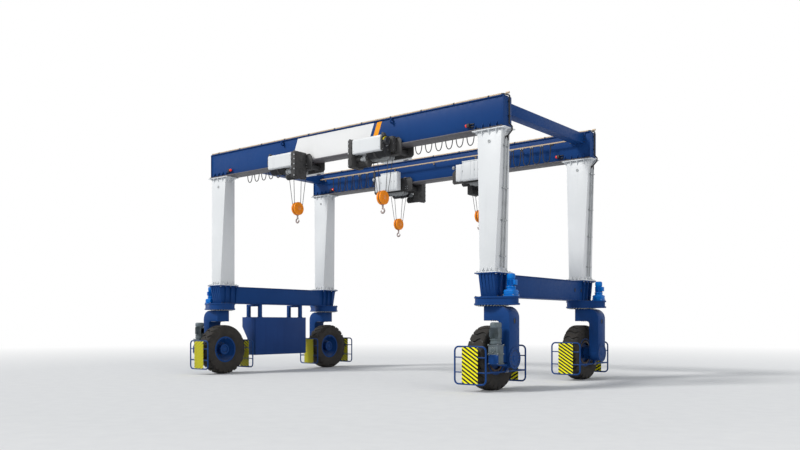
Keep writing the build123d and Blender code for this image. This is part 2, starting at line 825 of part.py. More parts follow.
corner_pieces = {  # name: shape for the far right corner and colour
    "leg": (leg(), WHITE),
    "bracket": (bracket(False), BLUE),
    "guard": (guard(), BLUE),
    "tyre": (tyre(), BLACK),
    "rim": (rim(), BLUE),
    "hoist_machine": (hoist_machine(), BLACK),
    "hoist_covers": (hoist_covers(), WHITE),
    "hoist_ropes": (hoist_ropes(), STEEL),
    "hook_block": (hook_block(), ORANGE),
    "hook": (hook(), STEEL),
    "festoon_cable": (festoon_cable(far_loop), BLACK),
}
near_pieces = {  # name: shape that takes the place of the far one, or is on the near side only
    "bracket": (bracket(True), BLUE),
    "drive_gearmotor": (drive_gearmotor(), GREY),
    "festoon_cable": (festoon_cable(near_loop), BLACK),
}
for corner, sides in CORNERS.items():
    pieces = corner_pieces if sides[1] > 0 else corner_pieces | near_pieces
    for piece, (shape, colour) in pieces.items():
        save(f"{piece}_{corner}", to_corner(shape, *sides), colour)
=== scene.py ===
from itertools import product
from math import asin, atan2, cos, degrees, pi, radians, sin, sqrt

import bmesh
import bpy
from bpy.props import FloatProperty, FloatVectorProperty, IntProperty, StringProperty
from mathutils import Matrix, Vector


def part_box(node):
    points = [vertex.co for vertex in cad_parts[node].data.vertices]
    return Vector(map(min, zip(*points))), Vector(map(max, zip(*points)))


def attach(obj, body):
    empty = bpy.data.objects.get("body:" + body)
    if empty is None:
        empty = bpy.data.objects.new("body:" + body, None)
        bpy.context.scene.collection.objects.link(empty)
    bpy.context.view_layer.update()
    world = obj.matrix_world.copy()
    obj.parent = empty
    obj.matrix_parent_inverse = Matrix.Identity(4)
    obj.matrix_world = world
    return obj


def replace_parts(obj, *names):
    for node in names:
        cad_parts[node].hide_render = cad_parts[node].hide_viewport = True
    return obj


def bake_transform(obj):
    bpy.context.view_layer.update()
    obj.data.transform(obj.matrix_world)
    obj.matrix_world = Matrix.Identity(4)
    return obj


bl_info = {
    "name": "Rubber tyred gantry crane",
    "version": (1, 0, 0),
    "blender": (4, 5, 0),
    "location": "View3D > Sidebar > Crane",
    "description": "Builds the finished pieces of a rubber tyred gantry crane around its frame",
    "category": "Add Mesh",
}

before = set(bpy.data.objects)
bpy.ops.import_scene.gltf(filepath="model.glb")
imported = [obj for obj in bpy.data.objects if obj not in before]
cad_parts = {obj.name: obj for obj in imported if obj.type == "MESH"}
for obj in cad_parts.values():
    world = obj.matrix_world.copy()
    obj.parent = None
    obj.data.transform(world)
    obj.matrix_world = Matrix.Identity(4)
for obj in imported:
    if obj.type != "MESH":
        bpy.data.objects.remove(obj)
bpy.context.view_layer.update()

# Corners of the crane, as the side along X and the side along Y. Every corner piece is shaped for
# the far right corner, in metres, and mirrored to the others.
CORNERS = {
    "near_left": (-1, -1),
    "near_right": (1, -1),
    "far_left": (-1, 1),
    "far_right": (1, 1),
}

# Places that come from the frame
leg_low, leg_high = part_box("leg_far_right")
saddle_low, saddle_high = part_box("saddle_right")
tyre_low, tyre_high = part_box("tyre_far_right")
girder_low, girder_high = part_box("girder_far")
block_low, block_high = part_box("hook_block_far_right")
drive_low, drive_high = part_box("drive_gearmotor_near_right")
steer_low, steer_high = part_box("steering_gearmotors")
tracks_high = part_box("festoon_tracks")[1]

corner_x = (leg_low.x + leg_high.x) / 2
beam_y = (leg_low.y + leg_high.y) / 2
wheel = (tyre_low + tyre_high) / 2
tyre_radius = (tyre_high.z - tyre_low.z) / 2
saddle_top = saddle_high.z
girder_z = girder_low.z
girder_top = girder_high.z
girder_half = girder_high.x
hook_x = (block_low.x + block_high.x) / 2
hook_y = (block_low.y + block_high.y) / 2
block_axle_z = block_high.z - 0.1975

# Plate sizes of the steelwork
web_half = 0.170
top_flange = (0.200, 0.022)          # half width, thickness
bottom_flange = (0.250, 0.030)
leg_base = (0.226, 0.299)            # half widths of the leg above its foot
leg_head = (0.360, 0.192)
leg_flange = 0.025
leg_foot = (0.650, 0.780)            # foot flange, and the saddle's pad under it
rib_offsets = (-0.420, -0.210, 0.0, 0.210)
rib_height = 0.150
rib_thickness = 0.018
edge = 0.004                         # rounding of a rolled or cut plate's edge

# Bolts in a leg's flanges, from its middle
foot_bolts = ((-0.275, 0.275), (-0.33, -0.10, 0.10, 0.33))
foot_side_bolts = ((-0.180, -0.060, 0.060, 0.180), (-0.345, 0.345))
head_bolts_x = (-0.350, -0.280, -0.140, -0.070, 0.070, 0.140, 0.280, 0.350)

motor_reach = 0.555                  # steering gearmotor, outward from the steering axis
tow_reach = 0.787                    # cable clamp of the trolley, outward from its hook
festoon_y = 2.070                    # cable rail, from the middle of the crane

X, Y, Z = Vector((1, 0, 0)), Vector((0, 1, 0)), Vector((0, 0, 1))


def srgb(code):
    """Linear colour from an sRGB hex value such as #2D4B87."""
    parts = [int(code[i:i + 2], 16) / 255 for i in (1, 3, 5)]
    return (*(c / 12.92 if c <= 0.04045 else ((c + 0.055) / 1.055) ** 2.4 for c in parts), 1.0)


def add_node(tree, kind, inputs, **properties):
    """Add one shader node with its properties. An input is linked to a socket, or set to the colour
    of a hex value or to the value itself. Gives back the node's outputs."""
    node = tree.nodes.new("ShaderNode" + kind)
    for name, value in properties.items():
        setattr(node, name, value)
    for name, value in inputs.items():
        if isinstance(value, bpy.types.NodeSocket):
            tree.links.new(value, node.inputs[name])
        else:
            node.inputs[name].default_value = srgb(value) if isinstance(value, str) else value
    return node.outputs


def new_finish(name, **sockets):
    """Material with its shader's plain values, and the coordinates that its patterns use."""
    finish = bpy.data.materials.new(name)
    finish.use_nodes = True
    tree = finish.node_tree
    shader = tree.nodes["Principled BSDF"].inputs
    for socket, value in sockets.items():
        shader[socket.replace("_", " ")].default_value = value
    return finish, tree, shader, add_node(tree, "TexCoord", {})


def painted_steel(name, colour, shade, dust="#8C8F92", roughness=0.42, dirt=0.35, gloss=0.3):
    """Sprayed paint on steel plate: darker in broad patches, with rain streaks down its sides and
    dust on what faces up."""
    finish, tree, shader, place = new_finish(name, Specular_IOR_Level=gloss)
    patches = add_node(tree, "TexNoise", {"Vector": place["Object"], "Scale": 0.7, "Detail": 3.0})[0]
    share = add_node(tree, "MapRange", {0: patches, 1: 0.35, 2: 0.65, 3: 0.0, 4: 0.3})[0]
    coat = add_node(tree, "Mix", {0: share, 6: colour, 7: shade}, data_type="RGBA")[2]
    # Rain streaks, about 60 mm apart and a metre long
    drawn = add_node(tree, "Mapping", {"Vector": place["Object"], "Scale": (1, 1, 0.06)})[0]
    streaks = add_node(tree, "TexNoise", {"Vector": drawn, "Scale": 8.3, "Detail": 4.0})[0]
    share = add_node(tree, "MapRange", {0: streaks, 1: 0.56, 2: 0.74, 3: 0.0, 4: 0.6 * dirt})[0]
    coat = add_node(tree, "Mix", {0: share, 6: coat, 7: shade}, data_type="RGBA")[2]
    # Dust in blotches a hand wide, only where the plate faces up
    upward = add_node(tree, "SeparateXYZ", {0: place["Normal"]})["Z"]
    upward = add_node(tree, "MapRange", {0: upward, 1: 0.5, 2: 1.0, 3: 0.0, 4: dirt})[0]
    blotch = add_node(tree, "TexNoise", {"Vector": place["Object"], "Scale": 4.0, "Detail": 5.0})[0]
    blotch = add_node(tree, "MapRange", {0: blotch, 1: 0.3, 2: 0.7, 3: 0.2, 4: 1.0})[0]
    settled = add_node(tree, "Math", {0: upward, 1: blotch}, operation="MULTIPLY")[0]
    coat = add_node(tree, "Mix", {0: settled, 6: coat, 7: dust}, data_type="RGBA")[2]
    tree.links.new(coat, shader["Base Color"])
    worn = add_node(tree, "TexNoise", {"Vector": place["Object"], "Scale": 11.0})[0]
    worn = add_node(tree, "MapRange", {0: worn, 1: 0.3, 2: 0.7, 3: roughness - 0.06, 4: roughness + 0.1})[0]
    tree.links.new(worn, shader["Roughness"])
    # Orange peel is 2 mm across on the real coat and drawn at 12 mm so that it shows
    peel = add_node(tree, "TexNoise", {"Vector": place["Object"], "Scale": 83.0, "Detail": 1.0})[0]
    relief = add_node(tree, "Bump", {"Height": peel, "Distance": 0.0006, "Strength": 0.25})[0]
    tree.links.new(relief, shader["Normal"])
    return finish


def mottled(name, light, dark, cloud, roughness, grain=0.008, depth=0.0005, **sockets):
    """Two tones in soft clouds over a fine relief; cloud, grain and depth are in metres."""
    finish, tree, shader, place = new_finish(name, **sockets)
    clouds = add_node(tree, "TexNoise", {"Vector": place["Object"], "Scale": 1 / cloud, "Detail": 5.0})[0]
    share = add_node(tree, "MapRange", {0: clouds, 1: 0.32, 2: 0.68, 3: 0.0, 4: 1.0})[0]
    tone = add_node(tree, "Mix", {0: share, 6: light, 7: dark}, data_type="RGBA")[2]
    tree.links.new(tone, shader["Base Color"])
    dull = add_node(tree, "MapRange", {0: share, 3: roughness - 0.06, 4: roughness + 0.1})[0]
    tree.links.new(dull, shader["Roughness"])
    skin = add_node(tree, "TexNoise", {"Vector": place["Object"], "Scale": 1 / grain, "Detail": 3.0})[0]
    relief = add_node(tree, "Bump", {"Height": skin, "Distance": depth, "Strength": 0.5})[0]
    tree.links.new(relief, shader["Normal"])
    return finish


def banded(name, light, dark, scale, waves, **sockets):
    """Two tones in bands that stand up a little, such as a rope's lay or a lens's ribs."""
    finish, tree, shader, place = new_finish(name, **sockets)
    bands = add_node(tree, "TexWave", {"Vector": place["Object"], "Scale": scale}, **waves)["Fac"]
    tone = add_node(tree, "Mix", {0: bands, 6: light, 7: dark}, data_type="RGBA")[2]
    tree.links.new(tone, shader["Base Color"])
    relief = add_node(tree, "Bump", {"Height": bands, "Distance": 0.002, "Strength": 0.5})[0]
    tree.links.new(relief, shader["Normal"])
    return finish


def spangled_zinc(colour):
    """Galvanised conduit and rails in a warm tan, with the zinc's faint spangle."""
    finish, tree, shader, place = new_finish("weathered galvanised steel", Roughness=0.5, Metallic=0.3)
    cells = add_node(tree, "TexVoronoi", {"Vector": place["Object"], "Scale": 60.0})["Distance"]
    share = add_node(tree, "MapRange", {0: cells, 1: 0.0, 2: 0.8, 3: 0.0, 4: 0.5})[0]
    tone = add_node(tree, "Mix", {0: share, 6: colour, 7: "#A08D75"}, data_type="RGBA")[2]
    tree.links.new(tone, shader["Base Color"])
    return finish


def hazard_film(name, side, yellow):
    """Yellow and black hazard film, its stripes slanted across the plate in X and Z."""
    sizes = bpy.context.scene.crane_sizes
    finish, tree, shader, place = new_finish(name, Roughness=0.45, Specular_IOR_Level=0.3)
    axes = add_node(tree, "SeparateXYZ", {0: place["Object"]})
    level = add_node(tree, "Math", {0: axes["X"], 1: -side * sizes.stripe_slope, 2: axes["Z"]},
                     operation="MULTIPLY_ADD")[0]
    count = add_node(tree, "Math", {0: level, 1: sizes.stripe_pitch}, operation="DIVIDE")[0]
    turn = add_node(tree, "Math", {0: count}, operation="FRACT")[0]
    black = add_node(tree, "MapRange", {0: turn, 1: 0.48, 2: 0.50, 3: 0.0, 4: 1.0})[0]
    grime = add_node(tree, "TexNoise", {"Vector": place["Object"], "Scale": 5.0, "Detail": 5.0})[0]
    grime = add_node(tree, "MapRange", {0: grime, 1: 0.35, 2: 0.75, 3: 0.0, 4: 0.25})[0]
    film = add_node(tree, "Mix", {0: grime, 6: yellow, 7: "#D8CB20"}, data_type="RGBA")[2]
    film = add_node(tree, "Mix", {0: black, 6: film, 7: "#121212"}, data_type="RGBA")[2]
    tree.links.new(film, shader["Base Color"])
    return finish


# Each finish, with what it gives the eye
FINISHES = {
    # Satin machine blue of the steelwork, streaked and dusty
    "blue": lambda p: painted_steel("blue two-pack paint", p.blue, p.blue_shade, gloss=0.1),
    # Darker, smoother blue of the power house sheets
    "house": lambda p: painted_steel("dark blue sheet paint", p.house, "#16305F", roughness=0.38, gloss=0.1),
    # Off-white of the legs and covers, streaked in pale grey
    "white": lambda p: painted_steel("off-white two-pack paint", p.white, "#C4C8CC", "#B4B2AC", 0.40, 0.30),
    # Nearly matt dark grey structure paint of the hoist gear
    "charcoal": lambda p: painted_steel("charcoal structure paint", p.charcoal, "#252422", "#5C5A57", 0.55,
                                        0.4),
    # Gloss orange enamel of the hook blocks
    "orange": lambda p: painted_steel("gloss orange enamel", p.orange, "#E0800C", "#A98A66", 0.32, 0.2,
                                      0.25),
    # Bright blue enamel of the steering gearmotors
    "enamel": lambda p: painted_steel("bright blue enamel", p.motor, "#0268BE", "#7E97AD", 0.33, 0.2, 0.15),
    # Greenish grey machine paint over a sand-cast skin, which keeps the casting's grain
    "casting": lambda p: mottled("grey paint on a casting", p.casting, "#465356", 0.15, 0.5, 0.012, 0.0012),
    # Light grey of the crosshead, the sheaves and the leg pipes
    "frame": lambda p: painted_steel("light grey frame paint", "#B3B6B8", "#8B8F92", "#8E8B86", 0.45, 0.3),
    # Brownish grey of the bottom flange
    "flange": lambda p: painted_steel("brownish grey flange paint", "#5E5C60", "#454349", "#8A8580", 0.52, 0.5),
    # Smooth white film of the blank name panel
    "panel": lambda p: painted_steel("white panel film", "#EDEEEF", "#D9DBDE", "#C4C2BC", 0.35, 0.2),
    # Amber film of the stripe beside the panel
    "amber": lambda p: painted_steel("amber stripe film", p.amber, "#E08F10", "#B79B6D", 0.35, 0.2),
    # Yellow enamel of the end box's arc
    "yellow": lambda p: painted_steel("yellow enamel", "#EFDB12", "#CDB010", "#A79C6B", 0.4, 0.3),
    # Zinc-plated bolt heads, bright grey with a fine grain
    "zinc": lambda p: mottled("zinc-plated bolt", "#C4C7CA", "#9EA2A6", 0.03, 0.35, Metallic=0.7),
    # Black-oxide bolt heads and clamps, nearly matt
    # Also painted shade in the gap at the slewing ring
    "bolt": lambda p: mottled("black-oxide steel", "#232427", "#3C3D41", 0.03, 0.5, Metallic=0.3),
    # Forged hook steel: pinkish grey with brown scale in soft clouds
    "forged": lambda p: mottled("forged steel", "#B9B1B1", "#7E6863", 0.05, 0.42, 0.008, 0.0008,
                                Metallic=0.35),
    # Greased wire rope: dark metal with the strands' slanted lay, 40 mm long
    "rope": lambda p: banded("greased wire rope", "#333436", "#626467", 12.0,
                             {"bands_direction": "DIAGONAL"}, Roughness=0.48, Metallic=0.7),
    # Galvanised conduit and rails, warm and dull with a faint spangle
    "conduit": lambda p: spangled_zinc(p.conduit),
    # Brake ring behind the rim, brown-black with wear
    "brake": lambda p: mottled("worn brake steel", "#5A463A", "#2E2725", 0.05, 0.5, Metallic=0.3),
    # Glass-filled black plastic with a fine matt grain, drawn at 6 mm so that it shows
    # Also painted shade: the dark floor of the tyre's grooves and the inside of the oval openings
    "plastic": lambda p: mottled("moulded black plastic", "#1A1A1C", "#29292B", 0.15, 0.6, 0.006),
    # Clear red polycarbonate over a lamp: glossy, deep in tone, with moulded ribs
    "lens": lambda p: banded("red polycarbonate lens", "#EE3A20", "#C01C10", 18.0, {}, Roughness=0.12,
                             IOR=1.58, Emission_Strength=0.25, Emission_Color=srgb("#FF2A12")),
    # Vulcanised tyre rubber: near black, chalky where dust lies, with a pitted skin
    "rubber": lambda p: mottled("vulcanised tyre rubber", p.rubber, "#3B3835", 0.3, 0.82, 0.010, 0.0012,
                                Specular_IOR_Level=0.3),
    # Extruded cable sheath, dark and slightly waxy
    "sheath": lambda p: mottled("rubber cable sheath", "#141517", "#26272A", 0.04, 0.58, 0.006, 0.0004),
    # Hazard film on both sides of a wheel
    "rising": lambda p: hazard_film("rising hazard film", 1, p.yellow),
    "falling": lambda p: hazard_film("falling hazard film", -1, p.yellow),
}
FINISH_ORDER = list(FINISHES)
made_finishes = {}


def finish_named(name):
    """Material of a finish, made the first time that a piece asks for it."""
    if name not in made_finishes:
        made_finishes[name] = FINISHES[name](bpy.context.scene.crane_paints)
    return made_finishes[name]


def around(middle, size):
    """Pair of values on both sides of a middle."""
    return middle - size / 2, middle + size / 2


def outward(middle, side, *reaches):
    """Values at distances to one side of a middle."""
    return [middle + side * reach for reach in reaches]


def arc(centre, radius, start, end, steps):
    """Points of an arc, as pairs, between two angles in degrees."""
    turns = [radians(start + (end - start) * i / steps) for i in range(steps + 1)]
    return [(centre[0] + radius * cos(t), centre[1] + radius * sin(t)) for t in turns]


def grid(middle, xs=(0,), ys=(0,), zs=(0,)):
    """Places at every meeting of distances from a middle along the axes."""
    return [Vector(middle) + Vector(step) for step in product(xs, ys, zs)]


def along(axis):
    """Turn that brings Z onto an axis."""
    return Vector(axis).to_track_quat("Z", "Y").to_matrix().to_4x4()


def ring(centre, axis, radius, count, phase=0.0):
    """Places evenly round an axis."""
    turn = Matrix.Translation(centre) @ along(axis)
    steps = [2 * pi * (i + phase) / count for i in range(count)]
    return [turn @ Vector((radius * cos(t), radius * sin(t), 0)) for t in steps]


def paint(faces, finish):
    """Give faces a finish."""
    for face in faces:
        face.material_index = FINISH_ORDER.index(finish)


def round_edges(bm, faces, rounding):
    """Round the edges of faces."""
    if rounding > 0:
        bmesh.ops.bevel(bm, geom=list({e for f in faces for e in f.edges}), offset=rounding,
                        offset_type="OFFSET", segments=2, profile=0.5, affect="EDGES", material=-1,
                        clamp_overlap=True)


def dress(bm, verts, finish, rounding=0.0):
    """Give the faces at these corners a finish, and round their edges."""
    faces = {f for v in verts for f in v.link_faces}
    paint(faces, finish)
    round_edges(bm, faces, rounding)


def cuboid(bm, x, y, z, finish, rounding=edge):
    """Block between two values on each axis, with rounded edges."""
    size = Matrix.Diagonal((abs(x[1] - x[0]), abs(y[1] - y[0]), abs(z[1] - z[0]), 1))
    place = Matrix.Translation((sum(x) / 2, sum(y) / 2, sum(z) / 2))
    verts = bmesh.ops.create_cube(bm, size=1, matrix=place @ size)["verts"]
    dress(bm, verts, finish, rounding)
    return verts


def rod(bm, start, end, radius, finish, sides=20, rounding=0.0):
    """Round bar between two points."""
    start, end = Vector(start), Vector(end)
    place = Matrix.Translation((start + end) / 2) @ along(end - start)
    verts = bmesh.ops.create_cone(bm, cap_ends=True, segments=sides, radius1=radius, radius2=radius,
                                  depth=(end - start).length, matrix=place)["verts"]
    faces = {f for v in verts for f in v.link_faces}
    paint(faces, finish)
    round_edges(bm, [f for f in faces if len(f.verts) > 4], rounding)


def join(bm, part):
    """Move a part into a piece."""
    bmesh.ops.recalc_face_normals(part, faces=part.faces)
    mesh = bpy.data.meshes.new("part")
    part.to_mesh(mesh)
    part.free()
    bm.from_mesh(mesh)
    bpy.data.meshes.remove(mesh)


def turned(bm, outline, origin, axis, finish, sides=40):
    """Round body about an axis from its outline, as (along, radius) pairs; closed if it ends
    where it starts or touches the axis."""
    part = bmesh.new()
    closed = outline[0] == outline[-1]
    points = outline[:-1] if closed else outline
    verts = [part.verts.new((radius, 0, place)) for place, radius in points]
    pairs = list(zip(verts, verts[1:])) + ([(verts[-1], verts[0])] if closed else [])
    edges = [part.edges.new(pair) for pair in pairs]
    bmesh.ops.spin(part, geom=verts + edges, cent=(0, 0, 0), axis=(0, 0, 1), angle=2 * pi,
                   steps=sides, use_merge=True)
    bmesh.ops.remove_doubles(part, verts=part.verts, dist=1e-5)
    paint(part.faces, finish)
    bmesh.ops.transform(part, matrix=Matrix.Translation(origin) @ along(axis), verts=part.verts)
    join(bm, part)


def plate(bm, points, thickness, finish, rounding=0.0):
    """Flat plate from its outline's points in space, pushed out by a vector."""
    part = bmesh.new()
    face = part.faces.new([part.verts.new(p) for p in points])
    grown = bmesh.ops.extrude_face_region(part, geom=[face], use_keep_orig=True)["geom"]
    bmesh.ops.translate(part, vec=thickness, verts=[v for v in grown if isinstance(v, bmesh.types.BMVert)])
    bmesh.ops.recalc_face_normals(part, faces=part.faces)
    dress(part, list(part.verts), finish, rounding)
    join(bm, part)


def plate_xz(bm, points, y, finish, rounding=0.0):
    """Plate between two values of Y from its outline in X and Z."""
    plate(bm, [(x, y[0], z) for x, z in points], (0, y[1] - y[0], 0), finish, rounding)


def plate_yz(bm, points, x, finish, rounding=0.0):
    """Plate between two values of X from its outline in Y and Z."""
    plate(bm, [(x[0], y, z) for y, z in points], (x[1] - x[0], 0, 0), finish, rounding)


def swept(bm, sections, finish):
    """Body that runs through closed sections with equal numbers of points."""
    part = bmesh.new()
    face = part.faces.new([part.verts.new(p) for p in sections[0]])
    for number, section in enumerate(sections[1:]):
        grown = bmesh.ops.extrude_face_region(part, geom=[face], use_keep_orig=number == 0)["geom"]
        face = next(g for g in grown if isinstance(g, bmesh.types.BMFace))
        spots = {tuple(p): q for p, q in zip(sections[number], section)}
        for vert in face.verts:
            nearest = min(spots, key=lambda p: (Vector(p) - vert.co).length)
            vert.co = spots[nearest]
    paint(part.faces, finish)
    join(bm, part)


def curve_mesh(kind, line, **settings):
    """Mesh of a curve through or near its points, with the curve's or its spline's settings."""
    curve = bpy.data.curves.new("run", "CURVE")
    curve.dimensions = "3D"
    spline = curve.splines.new(kind)
    spline.points.add(len(line) - 1)
    for point, place in zip(spline.points, line):
        point.co = (*place, 1)
    for name, value in settings.items():
        setattr(curve if hasattr(curve, name) else spline, name, value)
    holder = bpy.data.objects.new("run", curve)
    mesh = bpy.data.meshes.new_from_object(holder)
    bpy.data.objects.remove(holder)
    bpy.data.curves.remove(curve)
    return mesh


def rounded_corners(corners, bend, closed):
    """Points of straight runs with their corners rounded to a radius, the ends of an open one kept."""
    line = []
    for i, corner in enumerate(corners):
        if bend == 0 or (not closed and i in (0, len(corners) - 1)):
            line.append(corner)
            continue
        before = (corners[i - 1] - corner).normalized()
        after = (corners[(i + 1) % len(corners)] - corner).normalized()
        half = before.angle(after) / 2
        inset = bend / abs(sin(half) / cos(half))
        centre = corner + (before + after).normalized() * (bend / sin(half))
        first, last = corner + before * inset - centre, corner + after * inset - centre
        turn = pi - 2 * half
        shares = [step / 6 * turn for step in range(7)]
        line += [centre + (first * sin(turn - s) + last * sin(s)) / sin(turn) for s in shares]
    return line


def tube(bm, points, radius, finish, bend=0.0, closed=False, sides=10):
    """Bent pipe along straight runs, with its corners rounded to a radius."""
    line = rounded_corners([Vector(p) for p in points], bend, closed)
    mesh = curve_mesh("POLY", line, use_cyclic_u=closed, bevel_depth=radius,
                      bevel_resolution=max(0, sides // 2 - 2), use_fill_caps=True)
    part = bmesh.new()
    part.from_mesh(mesh)
    bpy.data.meshes.remove(mesh)
    bmesh.ops.remove_doubles(part, verts=part.verts, dist=1e-5)
    paint(part.faces, finish)
    join(bm, part)


def bolts(bm, places, axis, finish="bolt", width=None, height=None):
    """Hexagon heads at places, standing up along an axis."""
    sizes = bpy.context.scene.crane_sizes
    width = width or sizes.bolt_width
    height = height or sizes.bolt_height
    axis = Vector(axis).normalized()
    for place in places:
        rod(bm, place, Vector(place) + axis * height, width / sqrt(3), finish, 6)


def mirrored(bm, side_x, side_y):
    """Piece turned from the right side, the far side or the far right corner to its own."""
    bmesh.ops.scale(bm, vec=(side_x, side_y, 1), verts=bm.verts)
    return bm


def link_object(name, data):
    """Object of some data, in the scene."""
    thing = bpy.data.objects.new(name, data)
    bpy.context.scene.collection.objects.link(thing)
    return thing


def make_piece(name, bm, sharp=32.0):
    """Mesh object of a finished shape, with only the materials that it uses."""
    bmesh.ops.recalc_face_normals(bm, faces=bm.faces)
    mesh = bpy.data.meshes.new(name)
    bm.to_mesh(mesh)
    bm.free()
    indices = [polygon.material_index for polygon in mesh.polygons]
    used = sorted(set(indices))
    for index in used:
        mesh.materials.append(finish_named(FINISH_ORDER[index]))
    mesh.polygons.foreach_set("material_index", [used.index(i) for i in indices])
    mesh.shade_smooth()
    mesh.set_sharp_from_angle(angle=radians(sharp))
    piece = link_object(name, mesh)
    return piece


def place_piece(name, bm, body, node, sharp=32.0):
    """Piece that rides on a body and stands for a node of the frame."""
    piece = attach(make_piece(name, bm, sharp), body)
    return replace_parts(piece, node)


class CranePaints(bpy.types.PropertyGroup):
    """Colours of the crane's finishes, as sRGB hex values."""
    blue: StringProperty(name="Steelwork", description="Girders, saddles, brackets", default="#17407B")
    blue_shade: StringProperty(name="Steelwork shade", description="Darker patches", default="#12346A")
    house: StringProperty(name="Power house", description="Power house sheets", default="#20407A")
    white: StringProperty(name="Legs", description="Legs and hoist covers", default="#E0E3E6")
    charcoal: StringProperty(name="Hoist gear", description="Gearboxes and trolleys", default="#424243")
    orange: StringProperty(name="Hook blocks", description="Hook block guards", default="#FF9408")
    motor: StringProperty(name="Steering motors", description="Steering gearmotors", default="#0070C8")
    casting: StringProperty(name="Drive motors", description="Drive gearmotors", default="#5B6770")
    conduit: StringProperty(name="Conduits", description="Conduits and cable rails", default="#BDAA92")
    amber: StringProperty(name="Amber stripe", description="Stripe beside the panel", default="#FFA616")
    yellow: StringProperty(name="Hazard yellow", description="Stripes of the guards", default="#F5EE00")
    rubber: StringProperty(name="Tyres", description="Tyre rubber", default="#262524")


class CraneSizes(bpy.types.PropertyGroup):
    """Sizes of the crane's small parts."""
    bolt_width: FloatProperty(name="Bolt width", description="Across flats of a bolt head",
                              default=0.042, unit="LENGTH")
    bolt_height: FloatProperty(name="Bolt height", description="Height of a bolt head",
                               default=0.020, unit="LENGTH")
    lug_count: IntProperty(name="Tyre lugs", description="Lugs on each side of a tyre", default=22)
    lug_depth: FloatProperty(name="Lug depth", description="Depth of the tread", default=0.040,
                             unit="LENGTH")
    groove_width: FloatProperty(name="Groove width", description="Gap between two lugs",
                                default=0.056, unit="LENGTH")
    groove_wave: FloatProperty(name="Groove wave", description="Swing of a groove to each side",
                               default=0.045, unit="LENGTH")
    stripe_pitch: FloatProperty(name="Stripe pitch", description="From stripe to stripe",
                                default=0.100, unit="LENGTH")
    stripe_slope: FloatProperty(name="Stripe slope", description="Rise of a stripe over its run",
                                default=0.62)
    fin_count: IntProperty(name="Motor fins", description="Fins round a motor", default=24)


class CraneView(bpy.types.PropertyGroup):
    """Camera that looks at the crane from the yard."""
    lens: FloatProperty(name="Lens", description="Focal length on a 36 mm sensor, in mm", default=35.85)
    place: FloatVectorProperty(name="Place", description="Where the camera stands",
                               default=(16.081, -19.563, 1.666), subtype="TRANSLATION")
    heading: FloatProperty(name="Heading", description="Turn of the level camera",
                           default=radians(38.818), subtype="ANGLE")
    rise: FloatProperty(name="Rise", description="Upward shift of the picture, as a share of its width",
                        default=0.1233)


def stiffeners(bm, cut, middle, side, outline, places, finish, thickness=rib_thickness, rounding=0.002):
    """Equal plates, cut across X or Y, that stand out to one side of a middle; their outline is in
    reach and height."""
    for place in places:
        cut(bm, [(middle + side * reach, z) for reach, z in outline], around(place, thickness), finish,
            rounding)


def girder_shape():
    """Box girder with its flanges, ribs over the legs, lifting lugs and end plates."""
    bm = bmesh.new()
    low, high = girder_z + bottom_flange[1], girder_top - top_flange[1]
    ends = around(0, 2 * girder_half)
    cuboid(bm, around(0, 2 * girder_half - 0.020), around(beam_y, 2 * web_half), (low, high), "blue")
    cuboid(bm, ends, around(beam_y, 2 * bottom_flange[0]), (girder_z, low), "flange")
    cuboid(bm, ends, around(beam_y, 2 * top_flange[0]), (high, girder_top), "blue")
    rib = ((web_half, low), (bottom_flange[0], low), (bottom_flange[0], low + 0.020),
           (web_half, low + rib_height))
    bolt_y = web_half + 0.040
    for end in (-1, 1):
        for side in (-1, 1):
            places = outward(end * corner_x, end, *rib_offsets)
            stiffeners(bm, plate_yz, beam_y, side, rib, places, "blue")
        bolts(bm, grid((end * corner_x, beam_y, low), head_bolts_x, (-bolt_y, bolt_y)), Z)
        cuboid(bm, outward(0, end, girder_half - 0.016, girder_half), around(beam_y, 0.396), (low, high),
               "blue", 0.003)
        lifting_eye(bm, end * 2.184)
    return bm


def lifting_eye(bm, x):
    """Eye plate on the outer web with a round bore along X."""
    bore, reach, drop, half = 0.035, 0.055, 0.110, 0.015
    root = beam_y + web_half
    centre = Vector((x - half, root + reach, girder_top - drop))
    outline = ((0, bore), (2 * half, bore), (2 * half, 2 * bore), (0, 2 * bore), (0, bore))
    turned(bm, outline, centre, X, "blue", 32)
    thick = around(x, 2 * half)
    for side in (-1, 1):
        cuboid(bm, thick, (root, root + reach - 0.020), outward(centre.z, side, bore, 2 * bore), "blue",
               0.003)
    cuboid(bm, thick, (root, root + reach - bore), around(centre.z, 2 * bore), "blue", 0.002)


def name_panel(bm):
    """Blank white panel and amber stripe on the near girder's outer web, with slanted ends."""
    low, high, slant, film = 6.600, 7.298, 0.40, 0.002
    lean = slant * (high - low)
    face = beam_y + web_half
    for start, end, finish in ((-1.559, 1.503, "panel"), (1.619, 1.791, "amber")):
        outline = ((start - lean, low), (end - lean, low), (end, high), (start, high))
        plate_xz(bm, outline, (face, face + film), finish)


